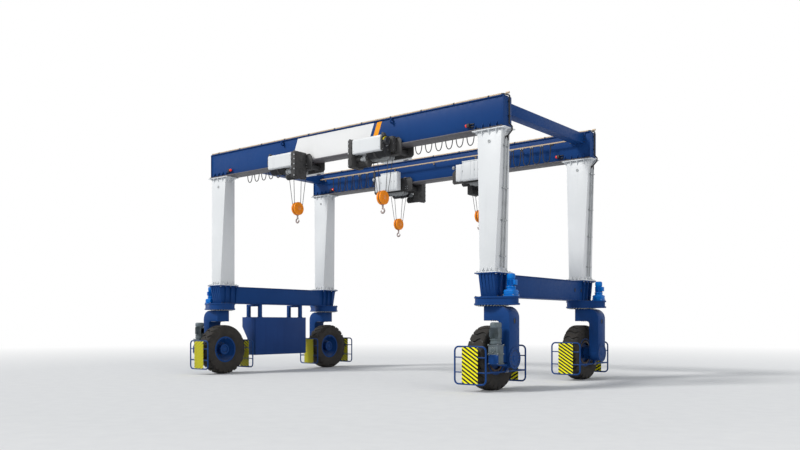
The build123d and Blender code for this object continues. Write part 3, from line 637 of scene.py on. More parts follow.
def leg_shape(right):
    """Tapered leg with its foot and head flanges, gussets, ribs, bolts and inspection port."""
    bm = bmesh.new()
    low, high = saddle_top + leg_flange, girder_z - leg_flange
    verts = cuboid(bm, around(corner_x, 1), around(beam_y, 1), (low, high), "white", 0.0)
    for vert in verts:
        half = leg_head if vert.co.z > (low + high) / 2 else leg_base
        vert.co.x = corner_x + half[0] * (1 if vert.co.x > corner_x else -1)
        vert.co.y = beam_y + half[1] * (1 if vert.co.y > beam_y else -1)
    dress(bm, verts, "white", 0.010)
    reach = (leg_high.x - leg_low.x) / 2
    cuboid(bm, around(corner_x, leg_foot[0]), around(beam_y, leg_foot[1]), (saddle_top, low), "white")
    cuboid(bm, around(corner_x, 2 * reach), around(beam_y, 0.510), (high, girder_z), "white")
    # Across Y and then across X: the axis's middle, leg's half width at its head and its foot, how much
    # narrower a rib is low down, a rib's tip and places, a gusset's tip, place of its top, and places
    rows = ((plate_yz, beam_y, corner_x, leg_head[1], leg_base[1], 0.0, 0.255, (-0.210, 0.0, 0.210), 0.380,
             -0.004, (-0.120, 0.0, 0.120)),
            (plate_xz, corner_x, beam_y, leg_head[0], leg_base[0], 0.006, reach, (-0.090, 0.090), 0.315,
             0.001, (-0.200, 0.0, 0.200)))
    for side in (-1, 1):
        for cut, middle, line, head, base, narrower, rib_tip, ribs, gusset_tip, lean, gussets in rows:
            outline = ((head, high), (rib_tip, high), (rib_tip, high - 0.015),
                       (head - narrower, high - rib_height))
            stiffeners(bm, cut, middle, side, outline, outward(line, 1, *ribs), "white")
            outline = ((base - 0.002, low), (gusset_tip, low), (base + lean, low + 0.120))
            stiffeners(bm, cut, middle, side, outline, outward(line, 1, *gussets), "white", 0.014, 0.0)
    places = [place for pattern in (foot_bolts, foot_side_bolts)
              for place in grid((corner_x, beam_y, low), *pattern)]
    bolts(bm, places, Z, "zinc")
    bolts(bm, grid((corner_x, beam_y, high), head_bolts_x, (-0.214, 0.214)), -Z, "zinc")
    drop = 0.290
    slant = (leg_base[1] - leg_head[1]) / (high - low)
    port = Vector((corner_x, beam_y - leg_head[1] - drop * slant, high - drop))
    frame_ring = ((-0.012, 0.030), (0.012, 0.030), (0.012, 0.042), (-0.012, 0.042), (-0.012, 0.030))
    lid = ((0.006, 0.0), (0.006, 0.031), (-0.010, 0.031), (-0.010, 0.0))
    for outline in (frame_ring, lid):
        turned(bm, outline, port, -Y, "frame", 28)
    if right:
        eye = Vector((corner_x + leg_head[0] - 0.006, beam_y + 0.065, high - 0.170))
        cable_eye = ((0.0, 0.0), (0.012, 0.0), (0.012, 0.030), (0.0, 0.036), (0.0, 0.0))
        turned(bm, cable_eye, eye, X, "plastic", 24)
    return bm


def end_beam_shape():
    """Box beams between the girders with bolted end plates."""
    bm = bmesh.new()
    low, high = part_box("end_beams")
    inner, middle, half, depth, thickness = beam_y - web_half, 5.385, 0.150, 0.290, 0.025
    top = girder_top - 0.050
    for sign in (-1, 1):
        x = sign * middle
        cuboid(bm, around(x, 2 * half), (-inner, inner), (top - depth, top), "blue", 0.006)
        for side in (-1, 1):
            cuboid(bm, around(x, 2 * half + 0.060), outward(0, side, inner, inner - thickness),
                   (low.z, high.z), "blue")
            places = grid((x, side * (inner - thickness), top), (-0.163, 0.163), zs=(-0.24, -0.15, -0.06))
            bolts(bm, places, -side * Y, width=0.026, height=0.014)
    return bm


def oval_port(bm, y, z, size, face, stand, rim):
    """Oval rubber-edged opening on a face across X: a dark plate of painted shade inside a round rim."""
    oval = [(y + a * size[0], z + b * size[1]) for a, b in arc((0, 0), 1, 0, 345, 23)]
    # Painted shade: the dark plate stands for the shaded inside of the opening
    plate_yz(bm, oval, (face, face + stand), "plastic")
    tube(bm, [(face + stand, a, b) for a, b in oval], rim, "blue", closed=True, sides=6)


def saddle_shape():
    """Beam under two legs: plates, tapered ribs, leg pads and the fixed slewing housings."""
    bm = bmesh.new()
    beam_low, pad = 2.340, 0.025
    top = saddle_top - pad
    top_half, low_half, half_width = 2.790, 2.670, 0.225
    outline = ((-low_half, beam_low), (low_half, beam_low), (top_half, top), (-top_half, top))
    plate_yz(bm, outline, around(corner_x, 2 * half_width), "blue", 0.006)
    for z, half in ((top - 0.012, top_half - 0.002), (beam_low + 0.012, low_half - 0.012)):
        cuboid(bm, around(corner_x, 0.500), (-half, half), around(z, 0.020), "blue")
    face_rib = ((half_width, beam_low), (half_width + 0.030, beam_low), (0.320, top - 0.060), (0.320, top),
                (half_width, top))
    end_rib = ((low_half, beam_low), (top_half + 0.026, top), (top_half - 0.002, top))
    for side in (-1, 1):
        middle = side * beam_y
        cuboid(bm, around(corner_x, leg_foot[0]), around(middle, leg_foot[1]), (top, saddle_top), "blue")
        places = [y for y in outward(middle, 1, -0.330, -0.110, 0.110, 0.330) if abs(y) < low_half]
        for face in (-1, 1):
            stiffeners(bm, plate_xz, corner_x, face, face_rib, places, "blue", rounding=0.003)
        places = outward(corner_x, 1, -0.150, -0.050, 0.050, 0.150)
        stiffeners(bm, plate_yz, 0, side, end_rib, places, "blue")
        bolts(bm, grid((corner_x, middle, top), *foot_bolts), -Z, "zinc")
        slewing_housing(bm, side * wheel.y, saddle_low.z, beam_low)
    for y in (1.620, 2.020):
        oval_port(bm, y, 2.640, (0.045, 0.060), corner_x + half_width, 0.003, 0.006)
    return bm


def slewing_housing(bm, y, low, high):
    """Fixed half of a slewing bearing with its top plate, bolt ring and lobe for the gearmotor."""
    lobe, radius, rim, foot, shrink = 0.216, 0.450, 0.040, 0.045, 0.955
    slant = tangent_angle(radius - lobe, motor_reach)
    keyhole = arc((0, 0), radius, slant, 360 - slant, 56) + arc((motor_reach, 0), lobe, -slant, slant, 20)
    for share, start, height, rounding in ((1, high - rim, rim, 0.004),
                                           (shrink, low + foot, high - rim - low - foot, 0.0),
                                           (1, low, foot, 0.004)):
        outline = [(corner_x + a * share, y + b * share, start) for a, b in keyhole]
        plate(bm, outline, (0, 0, height), "blue", rounding)
    places = ring((corner_x, y, low), Z, radius - foot, 30)
    bolts(bm, places, -Z, "zinc", 0.030, 0.016)
    places = ring((corner_x, y, high), Z, radius - 0.035, 24, 0.5)
    bolts(bm, [p for p in places if abs(p.x - corner_x) > 0.26], Z, "bolt", 0.034, 0.018)


def tangent_angle(rise, run):
    """Angle from the X axis at which a line that touches two circles leaves them, in degrees."""
    return 90 - degrees(atan2(rise, sqrt(run * run - rise * rise)))


def fins(bm, centre, axis, radii, ends, count, finish, thickness, gap):
    """Thin fins along a motor, evenly round it, with a gap round an angle for the terminal box."""
    turn = Matrix.Translation(centre) @ along(axis)
    size = Matrix.Diagonal((radii[1] - radii[0], thickness, ends[1] - ends[0], 1))
    place = Matrix.Translation((sum(radii) / 2, 0, sum(ends) / 2))
    for i in range(count):
        angle = 2 * pi * (i + 0.5) / count
        if abs((angle - gap[0] + pi) % (2 * pi) - pi) >= gap[1]:
            matrix = turn @ Matrix.Rotation(angle, 4, "Z") @ place @ size
            dress(bm, bmesh.ops.create_cube(bm, size=1, matrix=matrix)["verts"], finish)


def steering_motor_shape():
    """Upright gearmotor: flange, gearbox drum, finned motor, terminal box and fan cover."""
    bm = bmesh.new()
    x, y, low = corner_x + motor_reach, wheel.y, steer_low.z
    height = steer_high.z - low
    base = Vector((x, y, low))
    # Gearbox: width, low and high face above the foot, rounding
    for width, start, end, rounding in ((0.300, 0.0, 0.030, 0.008), (0.272, 0.026, 0.166, 0.024),
                                        (0.284, 0.062, 0.076, 0.004), (0.284, 0.112, 0.126, 0.004)):
        cuboid(bm, around(x, width), around(y, width), (low + start, low + end), "enamel", rounding)
    drum = ((0.150, 0.0), (0.150, 0.118), (0.176, 0.122), (0.184, 0.108), (0.212, 0.108), (0.220, 0.120),
            (0.244, 0.120), (0.254, 0.100), (0.254, 0.0))
    turned(bm, drum, base, Z, "enamel")
    bolts(bm, grid((x, y, low + 0.030), (-0.138, 0.138), (-0.138, 0.138)), Z, "zinc", 0.022, 0.014)
    bolts(bm, ring(base + 0.244 * Z, Z, 0.108, 8), Z, "zinc", 0.016, 0.010)
    motor = ((0.250, 0.0), (0.250, 0.088), (0.430, 0.088), (0.440, 0.098), (0.455, 0.102),
             (height - 0.030, 0.102), (height - 0.012, 0.092), (height, 0.070), (height, 0.0))
    turned(bm, motor, base, Z, "enamel", 36)
    count = bpy.context.scene.crane_sizes.fin_count
    fins(bm, base, Z, (0.084, 0.108), (0.262, 0.420), count, "enamel", 0.005, (0.0, 0.45))
    terminals = low + 0.345
    cuboid(bm, (x + 0.070, x + 0.140), around(y, 0.110), around(terminals, 0.120), "enamel", 0.008)
    cuboid(bm, (x + 0.140, x + 0.146), around(y, 0.118), around(terminals, 0.128), "enamel", 0.003)
    rod(bm, (x + 0.105, y, low + 0.288), (x + 0.105, y, low + 0.262), 0.014, "plastic", 12)
    for a in (-0.050, -0.025, 0.0, 0.025, 0.050):
        slot = Vector((x + a, y, low + height - 0.004))
        rod(bm, slot - 0.045 * Y, slot + 0.045 * Y, 0.004, "plastic", 6)
    return bm


def drive_motor_shape():
    """Upright drive gearmotor: helical gearbox, lantern, finned motor and its boxes."""
    bm = bmesh.new()
    low, height = drive_low.z, drive_high.z - drive_low.z
    base = Vector(((drive_low.x + drive_high.x) / 2, -(drive_low.y + drive_high.y) / 2, low))
    x, y = base.x, base.y
    width, top = 0.300, low + 0.475
    face = y + width / 2
    cuboid(bm, around(x, width - 0.024), around(y, width - 0.024), (low + 0.020, top - 0.020), "casting",
           0.020)
    for z in (low, low + 0.225, top - 0.028):
        cuboid(bm, around(x, width), around(y, width), (z, z + 0.028), "casting", 0.006)
    bolts(bm, grid(base, (-0.132, 0.132), (-0.132, 0.132), (0.253, 0.475)), Z, "zinc", 0.026, 0.014)
    for offset in (-0.075, 0.0, 0.075):
        cuboid(bm, around(x + offset, 0.012), around(y, width), (low + 0.030, low + 0.222), "casting", 0.002)
    cover = ((0, 0.0), (0, 0.075), (0.012, 0.075), (0.018, 0.060), (0.018, 0.0))
    turned(bm, cover, (x, face - 0.012, low + 0.350), Y, "casting", 32)
    bolts(bm, ring((x, face, low + 0.350), Y, 0.066, 8), Y, "zinc", 0.014, 0.008)
    lantern = ((0.470, 0.0), (0.470, 0.118), (0.492, 0.120), (0.498, 0.145), (0.520, 0.145), (0.528, 0.134),
               (0.586, 0.130), (0.592, 0.145), (0.612, 0.145), (0.618, 0.110), (0.618, 0.0))
    motor = ((0.610, 0.0), (0.610, 0.116), (0.880, 0.116), (0.890, 0.136), (0.905, 0.140),
             (height - 0.035, 0.140), (height - 0.012, 0.128), (height, 0.095), (height, 0.0))
    for outline in (lantern, motor):
        turned(bm, outline, base, Z, "casting")
    count = bpy.context.scene.crane_sizes.fin_count + 8
    fins(bm, base, Z, (0.110, 0.146), (0.632, 0.872), count, "casting", 0.006, (pi, 0.55))
    terminals = low + 0.755
    cuboid(bm, (x - 0.150, x - 0.100), around(y, 0.130), around(terminals, 0.170), "casting", 0.008)
    cuboid(bm, (x - 0.150, x - 0.142), around(y, 0.142), around(terminals, 0.182), "casting", 0.003)
    shield = Vector((x + 0.022, face + 0.012, low + 0.121))
    cuboid(bm, around(shield.x, 0.262), (face - 0.030, shield.y), around(shield.z, 0.234), "blue", 0.006)
    bolts(bm, grid(shield, (-0.115, 0.115), zs=(-0.100, 0.100)), Y, "zinc", 0.014, 0.006)
    return bm


def bracket_shape(driven):
    """Rotating wheel bracket: slewing ring, rounded roof and arm, boss, axle tube and spindle."""
    bm = bmesh.new()
    inner, outer, back = corner_x + 0.360, corner_x + 0.650, corner_x - 0.095
    low, top, half = 1.740, 2.100, 0.242
    profile = [(back, top), (back, low)]
    profile += arc((inner - 0.090, low - 0.090), 0.090, 90, 0, 6)
    profile += [(inner, wheel.z), (outer, wheel.z)]
    profile += arc((outer - 0.290, top - 0.290), 0.290, 0, 90, 14)
    plate_xz(bm, profile, around(wheel.y, 2 * half), "blue", 0.012)
    foot = Vector((inner, wheel.y, wheel.z))
    end = Vector((outer, wheel.y, wheel.z))
    width = outer - inner
    drum = ((0, 0), (0, half - 0.010), (0.010, half), (width - 0.010, half), (width, half - 0.010),
            (width, 0))
    turned(bm, drum, foot, X, "blue", 48)
    boss = ((0, 0), (0, 0.262), (0.012, 0.268), (0.020, 0.262), (0.020, 0.236), (0.012, 0.230), (0.012, 0))
    turned(bm, boss, end, X, "blue", 48)
    bolts(bm, ring(end + 0.012 * X, X, 0.195, 16), X, "bolt", 0.026, 0.008)
    cap = ((0, 0), (0, 0.085), (0.006, 0.090), (0.018, 0.080), (0.018, 0))
    turned(bm, cap, end + 0.004 * X, X, "blue", 32)
    oval_port(bm, wheel.y, 1.735, (0.058, 0.075), outer - 0.004, 0.006, 0.008)
    seat = wheel.x + 0.185
    run = inner - seat
    axle_tube = ((0, 0.078), (0, 0.196), (0.012, 0.208), (run - 0.050, 0.208), (run - 0.012, 0.230),
                 (run, 0.234), (run, 0.078), (0, 0.078))
    turned(bm, axle_tube, (seat, wheel.y, wheel.z), X, "blue")
    rod(bm, wheel - 0.110 * X, foot, 0.078, "forged", 28, rounding=0.006)
    head = Vector((corner_x, wheel.y, top))
    # Slewing ring in dark black-oxide: a real ring, and painted shade for the gap under the housing
    slew_ring_and_gap_shade = ((0, 0), (0, 0.296), (0.006, 0.304), (0.024, 0.304), (0.0295, 0.296), (0.0295, 0))
    turned(bm, slew_ring_and_gap_shade, head, Z, "bolt", 64)
    bolts(bm, ring(head, Z, 0.345, 28), Z, "zinc", 0.028, 0.016)
    places = grid((corner_x, wheel.y, low), (0.110, 0.165, 0.220, 0.275), (-0.190, 0.190))
    bolts(bm, places, -Z, "zinc", 0.024, 0.012)
    if driven:
        drive_console(bm, wheel.y + half)
    return bm


def drive_console(bm, face):
    """Wall and shelf that carry the drive gearmotor beside the arm."""
    x, z = (drive_low.x + drive_high.x) / 2, drive_low.z
    cuboid(bm, around(x, 0.200), (face - 0.010, -drive_high.y), (z + 0.040, z + 0.435), "blue", 0.008)
    reach = -drive_low.y - 0.020
    outline = ((face, z - 0.060), (face, z - 0.002), (reach, z - 0.002), (reach, z - 0.020))
    plate_yz(bm, outline, around(x, 0.260), "blue", 0.003)


def guard_shape(sides):
    """Tube guards fore and aft of a wheel with striped plates, on one bar under the bracket."""
    bm = bmesh.new()
    low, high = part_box("guard_far_right")
    radius, corner, rails, plate_half, reach = 0.022, 0.110, (0.480, 0.845), 0.230, 0.939
    left, right = low.x + radius, low.x + 0.946 - radius
    foot, head = low.z + radius, high.z - radius
    for side in (-1, 1):
        y = wheel.y + side * reach
        loop = [(left, y, foot), (right, y, foot), (right, y, head), (left, y, head)]
        tube(bm, loop, radius, "blue", corner, True, 12)
        for z in rails:
            rod(bm, (left, y, z), (right, y, z), 0.015, "blue", 12)
        face = y + side * (radius - 0.005)
        stripe = "rising" if sides[0] * sides[1] * side > 0 else "falling"
        cuboid(bm, around(wheel.x, 2 * plate_half), (face - side * 0.006, face), (foot, head), stripe, 0.0)
        places = grid((wheel.x, face, 0), around(0, 2 * plate_half - 0.060),
                      zs=(*rails, low.z + 0.060, high.z - 0.060))
        bolts(bm, places, side * Y, "zinc", 0.016, 0.004)
    bar = Vector((right, wheel.y, rails[0]))
    rod(bm, bar - reach * Y, bar + reach * Y, radius, "blue", 16)
    cuboid(bm, around(bar.x, 0.070), around(bar.y, 0.090), (bar.z - 0.010, wheel.z - 0.242), "blue", 0.004)
    # U-bolts that hold the bar
    for a in (-0.030, 0.030):
        places = [bar + Vector((b, a, c)) for b, c in ((-0.034, 0.030), (-0.034, -0.030), (0.034, -0.030),
                                                       (0.034, 0.030))]
        tube(bm, places, 0.006, "zinc", 0.020, sides=6)
    return bm


def tyre_shape():
    """Earthmover tyre: bulged carcass with its bead, and wavy lugs that run over both shoulders."""
    bm = bmesh.new()
    sizes = bpy.context.scene.crane_sizes
    tread = tyre_radius - sizes.lug_depth
    side = [(-0.146, 0.404), (-0.166, 0.432), (-0.200, 0.470), (-0.228, 0.540), (-0.238, 0.620),
            (-0.235, 0.690), (-0.222, 0.730), (-0.190, tread - 0.008), (-0.100, tread)]
    turned(bm, side + [(-a, r) for a, r in reversed(side)] + [side[0]], wheel, X, "rubber", 88)
    # Painted shade: a dark ring of black plastic under the lugs darkens the floor of the grooves
    floor = ((-0.186, tread - 0.030), (-0.186, tread - 0.004), (-0.100, tread + 0.002),
             (0.100, tread + 0.002), (0.186, tread - 0.004), (0.186, tread - 0.030), (-0.186, tread - 0.030))
    turned(bm, floor, wheel, X, "plastic", 88)
    for radius, reach in ((0.500, 0.214), (0.545, 0.229)):
        rib = ((reach - 0.006, radius - 0.006), (reach + 0.002, radius), (reach - 0.003, radius + 0.006),
               (reach - 0.006, radius - 0.006))
        for axis in (-X, X):
            turned(bm, rib, wheel, axis, "rubber", 64)
    # Place across the tyre, and how far a lug's crown and its root are there under their full radius
    profile = ((0.0, 0.0, 0.0), (0.030, 0.0, 0.0), (0.060, 0.0, 0.0), (0.090, 0.0, 0.0), (0.120, 0.0, 0.0),
               (0.150, 0.002, 0.0), (0.180, 0.007, 0.004), (0.205, 0.016, 0.020), (0.222, 0.030, 0.045),
               (0.234, 0.055, 0.075), (0.240, 0.090, 0.100), (0.2405, 0.135, 0.130))
    stations = [(-a, c, r) for a, c, r in reversed(profile[1:])] + list(profile)
    pitch = 2 * pi / sizes.lug_count
    width = pitch * tyre_radius - sizes.groove_width
    sections = [lug_section(a, tyre_radius - crown, tread - root, width, sizes.groove_wave)
                for a, crown, root in stations]
    lug = bmesh.new()
    swept(lug, sections, "rubber")
    for step in range(sizes.lug_count):
        copy = lug.copy()
        turn = Matrix.Translation(wheel) @ Matrix.Rotation(step * pitch, 4, "X")
        bmesh.ops.transform(copy, matrix=turn, verts=copy.verts)
        join(bm, copy)
    lug.free()
    return bm


def lug_section(across, crown, root, width, swing):
    """Section of a lug at one place across the tyre, about an axle along X, on a wavy line."""
    wave = -swing * cos(1.5 * pi * (across / 0.240 + 1))
    root -= 0.020
    half = width / 2
    corners = ((root, -half - 0.008), (crown - 0.006, -half), (crown, -half + 0.008), (crown, -half / 3),
               (crown, half / 3), (crown, half - 0.008), (crown - 0.006, half), (root, half + 0.008))
    turns = [(radius, (wave + shift) / tyre_radius) for radius, shift in corners]
    return [Vector((across, radius * sin(turn), radius * cos(turn))) for radius, turn in turns]


def rim_shape():
    """Deep-dished rim with rolled flanges, bolted nave plate, hub and brake ring."""
    bm = bmesh.new()
    shell = ((-0.165, 0.378), (-0.165, 0.428), (-0.156, 0.433), (-0.143, 0.428), (-0.143, 0.400),
             (0.143, 0.400), (0.143, 0.428), (0.156, 0.433), (0.165, 0.428), (0.165, 0.378), (0.120, 0.376),
             (0.100, 0.360), (0.100, 0.165), (0.070, 0.165), (0.070, 0.250), (0.040, 0.290), (-0.100, 0.366),
             (-0.140, 0.376), (-0.165, 0.378))
    hub = ((-0.105, 0.090), (-0.105, 0.118), (-0.130, 0.126), (-0.138, 0.150), (-0.130, 0.176),
           (-0.090, 0.180), (-0.060, 0.166), (0.175, 0.165), (0.185, 0.158), (0.185, 0.090), (-0.105, 0.090))
    cap = ((-0.134, 0.0), (-0.134, 0.045), (-0.126, 0.064), (-0.112, 0.094), (-0.104, 0.094), (-0.104, 0.0))
    brake = ((0.105, 0.300), (0.160, 0.300), (0.160, 0.352), (0.105, 0.352), (0.105, 0.300))
    for outline, finish, count in ((shell, "blue", 72), (hub, "blue", 48), (cap, "blue", 40),
                                   (brake, "brake", 64)):
        turned(bm, outline, wheel, X, finish, count)
    bolts(bm, ring(wheel - 0.112 * X, -X, 0.080, 6), -X, "bolt", 0.018, 0.006)
    bolts(bm, ring(wheel + 0.070 * X, -X, 0.208, 12), -X, "bolt", 0.034, 0.022)
    # Tyre valve
    rod(bm, wheel + Vector((-0.150, 0.0, 0.352)), wheel + Vector((-0.185, 0.0, 0.346)), 0.006, "zinc", 8)
    return bm


def power_house_shape():
    """Sheet-clad power house with a sloped skirt, and louvred doors on its outboard side."""
    bm = bmesh.new()
    low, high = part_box("power_house")
    inner, outer = -high.x, -low.x
    narrow, slope = inner + 0.440, (1.150, 1.555)
    outline = ((inner, low.z), (narrow, low.z), (narrow, slope[0]), (outer, slope[1]), (outer, high.z),
               (inner, high.z))
    plate_xz(bm, outline, (-high.y, high.y), "house", 0.006)
    for y in (-0.605, 0.605):
        cuboid(bm, (narrow - 0.002, narrow + 0.010), around(y, 1.120), (low.z + 0.050, slope[0] - 0.040),
               "house", 0.004)
        for hinge in grid((narrow + 0.012, y, 0), ys=(-0.570, 0.570), zs=(low.z + 0.120, slope[0] - 0.110)):
            rod(bm, hinge - 0.030 * Z, hinge + 0.030 * Z, 0.010, "zinc", 10)
        cuboid(bm, (narrow + 0.010, narrow + 0.026), around(y + 0.440, 0.040), around(low.z + 0.300, 0.120),
               "plastic", 0.005)
        for i in range(7):
            z = low.z + 0.150 + i * 0.036
            louvre = ((narrow + 0.008, z), (narrow + 0.024, z), (narrow + 0.008, z + 0.024))
            plate_xz(bm, louvre, (y - 0.400, y + 0.100), "house", 0.001)
    return bm


def hanger_shape():
    """Two portal frames that carry the power house under the saddle."""
    bm = bmesh.new()
    low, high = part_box("power_house_hangers")
    inner, outer, post, beam_low = -high.x, -low.x, 0.110, high.z - 0.070
    for middle in (-0.965, 0.965):
        y = around(middle, post)
        cuboid(bm, (inner, outer), y, (beam_low, high.z), "blue")
        for x in ((inner, inner + post), (outer - post, outer)):
            cuboid(bm, x, y, (low.z, beam_low), "blue")
            cuboid(bm, x, around(middle, post + 0.060), (low.z, low.z + 0.012), "blue", 0.003)
            bolts(bm, grid((sum(x) / 2, middle, low.z + 0.012), ys=(-0.070, 0.070)), Z, "zinc", 0.024, 0.012)
    return bm


def hoist_spot(a, b, c):
    """Point from the hook along X, the girder's middle along Y and its underside."""
    return Vector((hook_x + a, beam_y + b, girder_z + c))


def hoist_block(bm, along_x, along_y, up, finish="charcoal", rounding=edge):
    """Block between two values from the hook, the girder's middle and its underside."""
    corners = [hoist_spot(*corner) for corner in zip(along_x, along_y, up)]
    cuboid(bm, *zip(*corners), finish, rounding)


def hoist_machine_shape():
    """Underslung trolley with its wheels, gearbox, drum, motors, end box, crosshead and tow arm."""
    bm = bmesh.new()
    trolley_frame(bm)
    hoist_gearbox(bm)
    hoist_motor(bm)
    rope_drum(bm)
    end_box(bm)
    crosshead(bm)
    # Angle arm up to the cable with a clamp for it
    arm_x, arm_y, low, head = around(tow_reach, 0.040), around(-0.360, 0.036), 0.110, 0.4813
    hoist_block(bm, arm_x, (-0.378, -0.262), (low - 0.040, low))
    hoist_block(bm, arm_x, arm_y, (low, head))
    hoist_block(bm, around(tow_reach, 0.120), arm_y, (head, 0.521), "plastic", 0.003)
    return bm


def trolley_frame(bm):
    """Side frames with cut corners, cross members, flanged wheels and the travel motor."""
    corners = ((-0.860, -0.210), (-0.800, -0.270), (0.800, -0.270), (0.860, -0.210), (0.860, 0.110),
               (0.770, 0.200), (-0.770, 0.200), (-0.860, 0.110))
    roller = ((0.0, 0.020), (0.0, 0.104), (0.010, 0.106), (0.016, 0.090), (0.060, 0.087), (0.062, 0.040),
              (0.050, 0.020), (0.0, 0.020))
    cap = ((0.0, 0.0), (0.0, 0.056), (0.012, 0.056), (0.018, 0.048), (0.018, 0.0))
    inner, outer, axle, beam = 0.262, 0.294, 0.1203, (-0.215, -0.085)
    for side in (-1, 1):
        outline = [(hook_x + a, girder_z + c) for a, c in corners]
        plate_xz(bm, outline, outward(beam_y, side, inner, outer - 0.016), "charcoal", 0.003)
        for up in ((-0.268, -0.246), (0.176, 0.198)):
            hoist_block(bm, (-0.760, 0.760), outward(0, side, outer - 0.020, outer), up)
        for a in (-0.520, 0.520):
            turned(bm, roller, hoist_spot(a, side * inner, axle), -side * Y, "forged", 32)
            turned(bm, cap, hoist_spot(a, side * (outer - 0.016), axle), side * Y, "charcoal", 24)
            heads = ring(hoist_spot(a, side * (outer - 0.004), axle), side * Y, 0.040, 6)
            bolts(bm, heads, side * Y, "zinc", 0.010, 0.006)
        for a in (-0.620, 0.620):
            heads = grid(hoist_spot(a, side * outer, -0.150), (-0.040, 0.040), zs=(-0.040, 0.040))
            bolts(bm, heads, side * Y, "zinc", 0.024, 0.010)
    for a in (-0.620, 0.620):
        hoist_block(bm, around(a, 0.120), (-inner, inner), beam, rounding=0.008)
    hoist_block(bm, (-0.620, 0.620), (-0.090, 0.170), beam, rounding=0.010)
    travel_motor = ((0.0, 0.0), (0.0, 0.060), (0.150, 0.060), (0.156, 0.050), (0.240, 0.050), (0.246, 0.056),
                    (0.290, 0.056), (0.300, 0.046), (0.300, 0.0))
    turned(bm, travel_motor, hoist_spot(0.560, -0.350, 0.085), -X, "charcoal", 28)
    hoist_block(bm, (0.560, 0.680), (-0.430, -outer), (0.010, 0.160), rounding=0.012)


def hoist_gearbox(bm):
    """Tall gearbox at the inboard end of the drum: flanged halves, a row of bolts and round covers."""
    x, y, z = (-0.668, -0.480), (0.294, 0.780), (-0.565, 0.245)
    # Housing, flange between its halves, and cover on its outer face: insets at both ends, rounding
    for (a, b), (c, d), inset, rounding in (((0.012, 0.0), (0.0, 0.020), 0.020, 0.016),
                                            ((0.060, 0.098), (0.010, 0.004), 0.004, 0.006),
                                            ((0.022, 0.020), (0.466, 0.002), 0.040, 0.004)):
        hoist_block(bm, (x[0] + a, x[1] - b), (y[0] + c, y[1] - d), (z[0] + inset, z[1] - inset),
                    rounding=rounding)
    drops = (-0.128, -0.256, -0.400, -0.550, -0.740)
    face = y[1] - 0.002
    bolts(bm, grid(hoist_spot(x[0] + 0.042, face, z[1]), zs=drops), Y, "zinc", 0.036, 0.014)
    bolts(bm, grid(hoist_spot(x[1] - 0.040, face, z[1]), zs=drops), Y, "bolt", 0.034, 0.012)
    heads = grid(hoist_spot(x[0] + 0.012, 0, z[1]), ys=(y[0] + 0.045, y[1] - 0.045), zs=drops)
    bolts(bm, heads, -X, "bolt", 0.034, 0.012)
    for b, c, radius in ((0.537, 0.060, 0.130), (0.537, -0.330, 0.095), (0.410, -0.130, 0.050)):
        cover = ((0.0, 0.0), (0.0, radius), (0.010, radius + 0.004), (0.018, radius - 0.010), (0.018, 0.0))
        turned(bm, cover, hoist_spot(x[0] + 0.016, b, c), -X, "charcoal", 36)
        bolts(bm, ring(hoist_spot(x[0] - 0.001, b, c), -X, radius - 0.018, 8), -X, "bolt", 0.018, 0.010)


def hoist_motor(bm):
    """Lifting motor low beside the gearbox, its pale brake cone and ring, and the coupling to the drum."""
    spot = hoist_spot(-0.480, 0.510, -0.450)
    motor = ((0.0, 0.0), (0.0, 0.108), (0.025, 0.108), (0.032, 0.090), (0.330, 0.090), (0.338, 0.104),
             (0.400, 0.104), (0.418, 0.088), (0.424, 0.0))
    turned(bm, motor, spot, X, "charcoal")
    fins(bm, spot, X, (0.084, 0.104), (0.038, 0.326), 28, "charcoal", 0.006, (pi / 2, 0.5))
    hoist_block(bm, (-0.420, -0.300), (0.455, 0.565), (-0.352, -0.322), rounding=0.006)
    rod(bm, hoist_spot(-0.480, 0.560, -0.300), hoist_spot(-0.330, 0.560, -0.300), 0.085, "charcoal", 32)
    cone = ((0.0, 0.0), (0.0, 0.055), (0.120, 0.085), (0.130, 0.0))
    turned(bm, cone, hoist_spot(-0.340, 0.560, -0.320), X, "frame", 32)
    rings = ((0.0, 0.0), (0.0, 0.086), (0.008, 0.094), (0.028, 0.094), (0.034, 0.080), (0.046, 0.080),
             (0.052, 0.094), (0.068, 0.094), (0.074, 0.084), (0.074, 0.0))
    turned(bm, rings, hoist_spot(-0.200, 0.560, -0.320), X, "frame")
    rod(bm, hoist_spot(-0.210, 0.560, -0.320), hoist_spot(-0.060, 0.560, -0.300), 0.070, "charcoal", 28)


def rope_drum(bm):
    """Grooved rope drum under the cover, with the rope guide round it."""
    start, run, radius, pitch = -0.080, 0.640, 0.170, 0.032
    groove = [(0.0, 0.050), (0.0, radius)]
    for i in range(int(run / pitch)):
        groove += [(i * pitch + 0.006, radius), (i * pitch + 0.016, radius - 0.016),
                   (i * pitch + 0.026, radius)]
    groove += [(run, radius), (run, 0.050), (0.0, 0.050)]
    turned(bm, groove, hoist_spot(start, 0.500, -0.170), X, "bolt")
    guide = ((0.0, radius + 0.002), (0.0, radius + 0.020), (0.070, radius + 0.020), (0.070, radius + 0.002),
             (0.0, radius + 0.002))
    turned(bm, guide, hoist_spot(0.180, 0.500, -0.170), X, "charcoal")


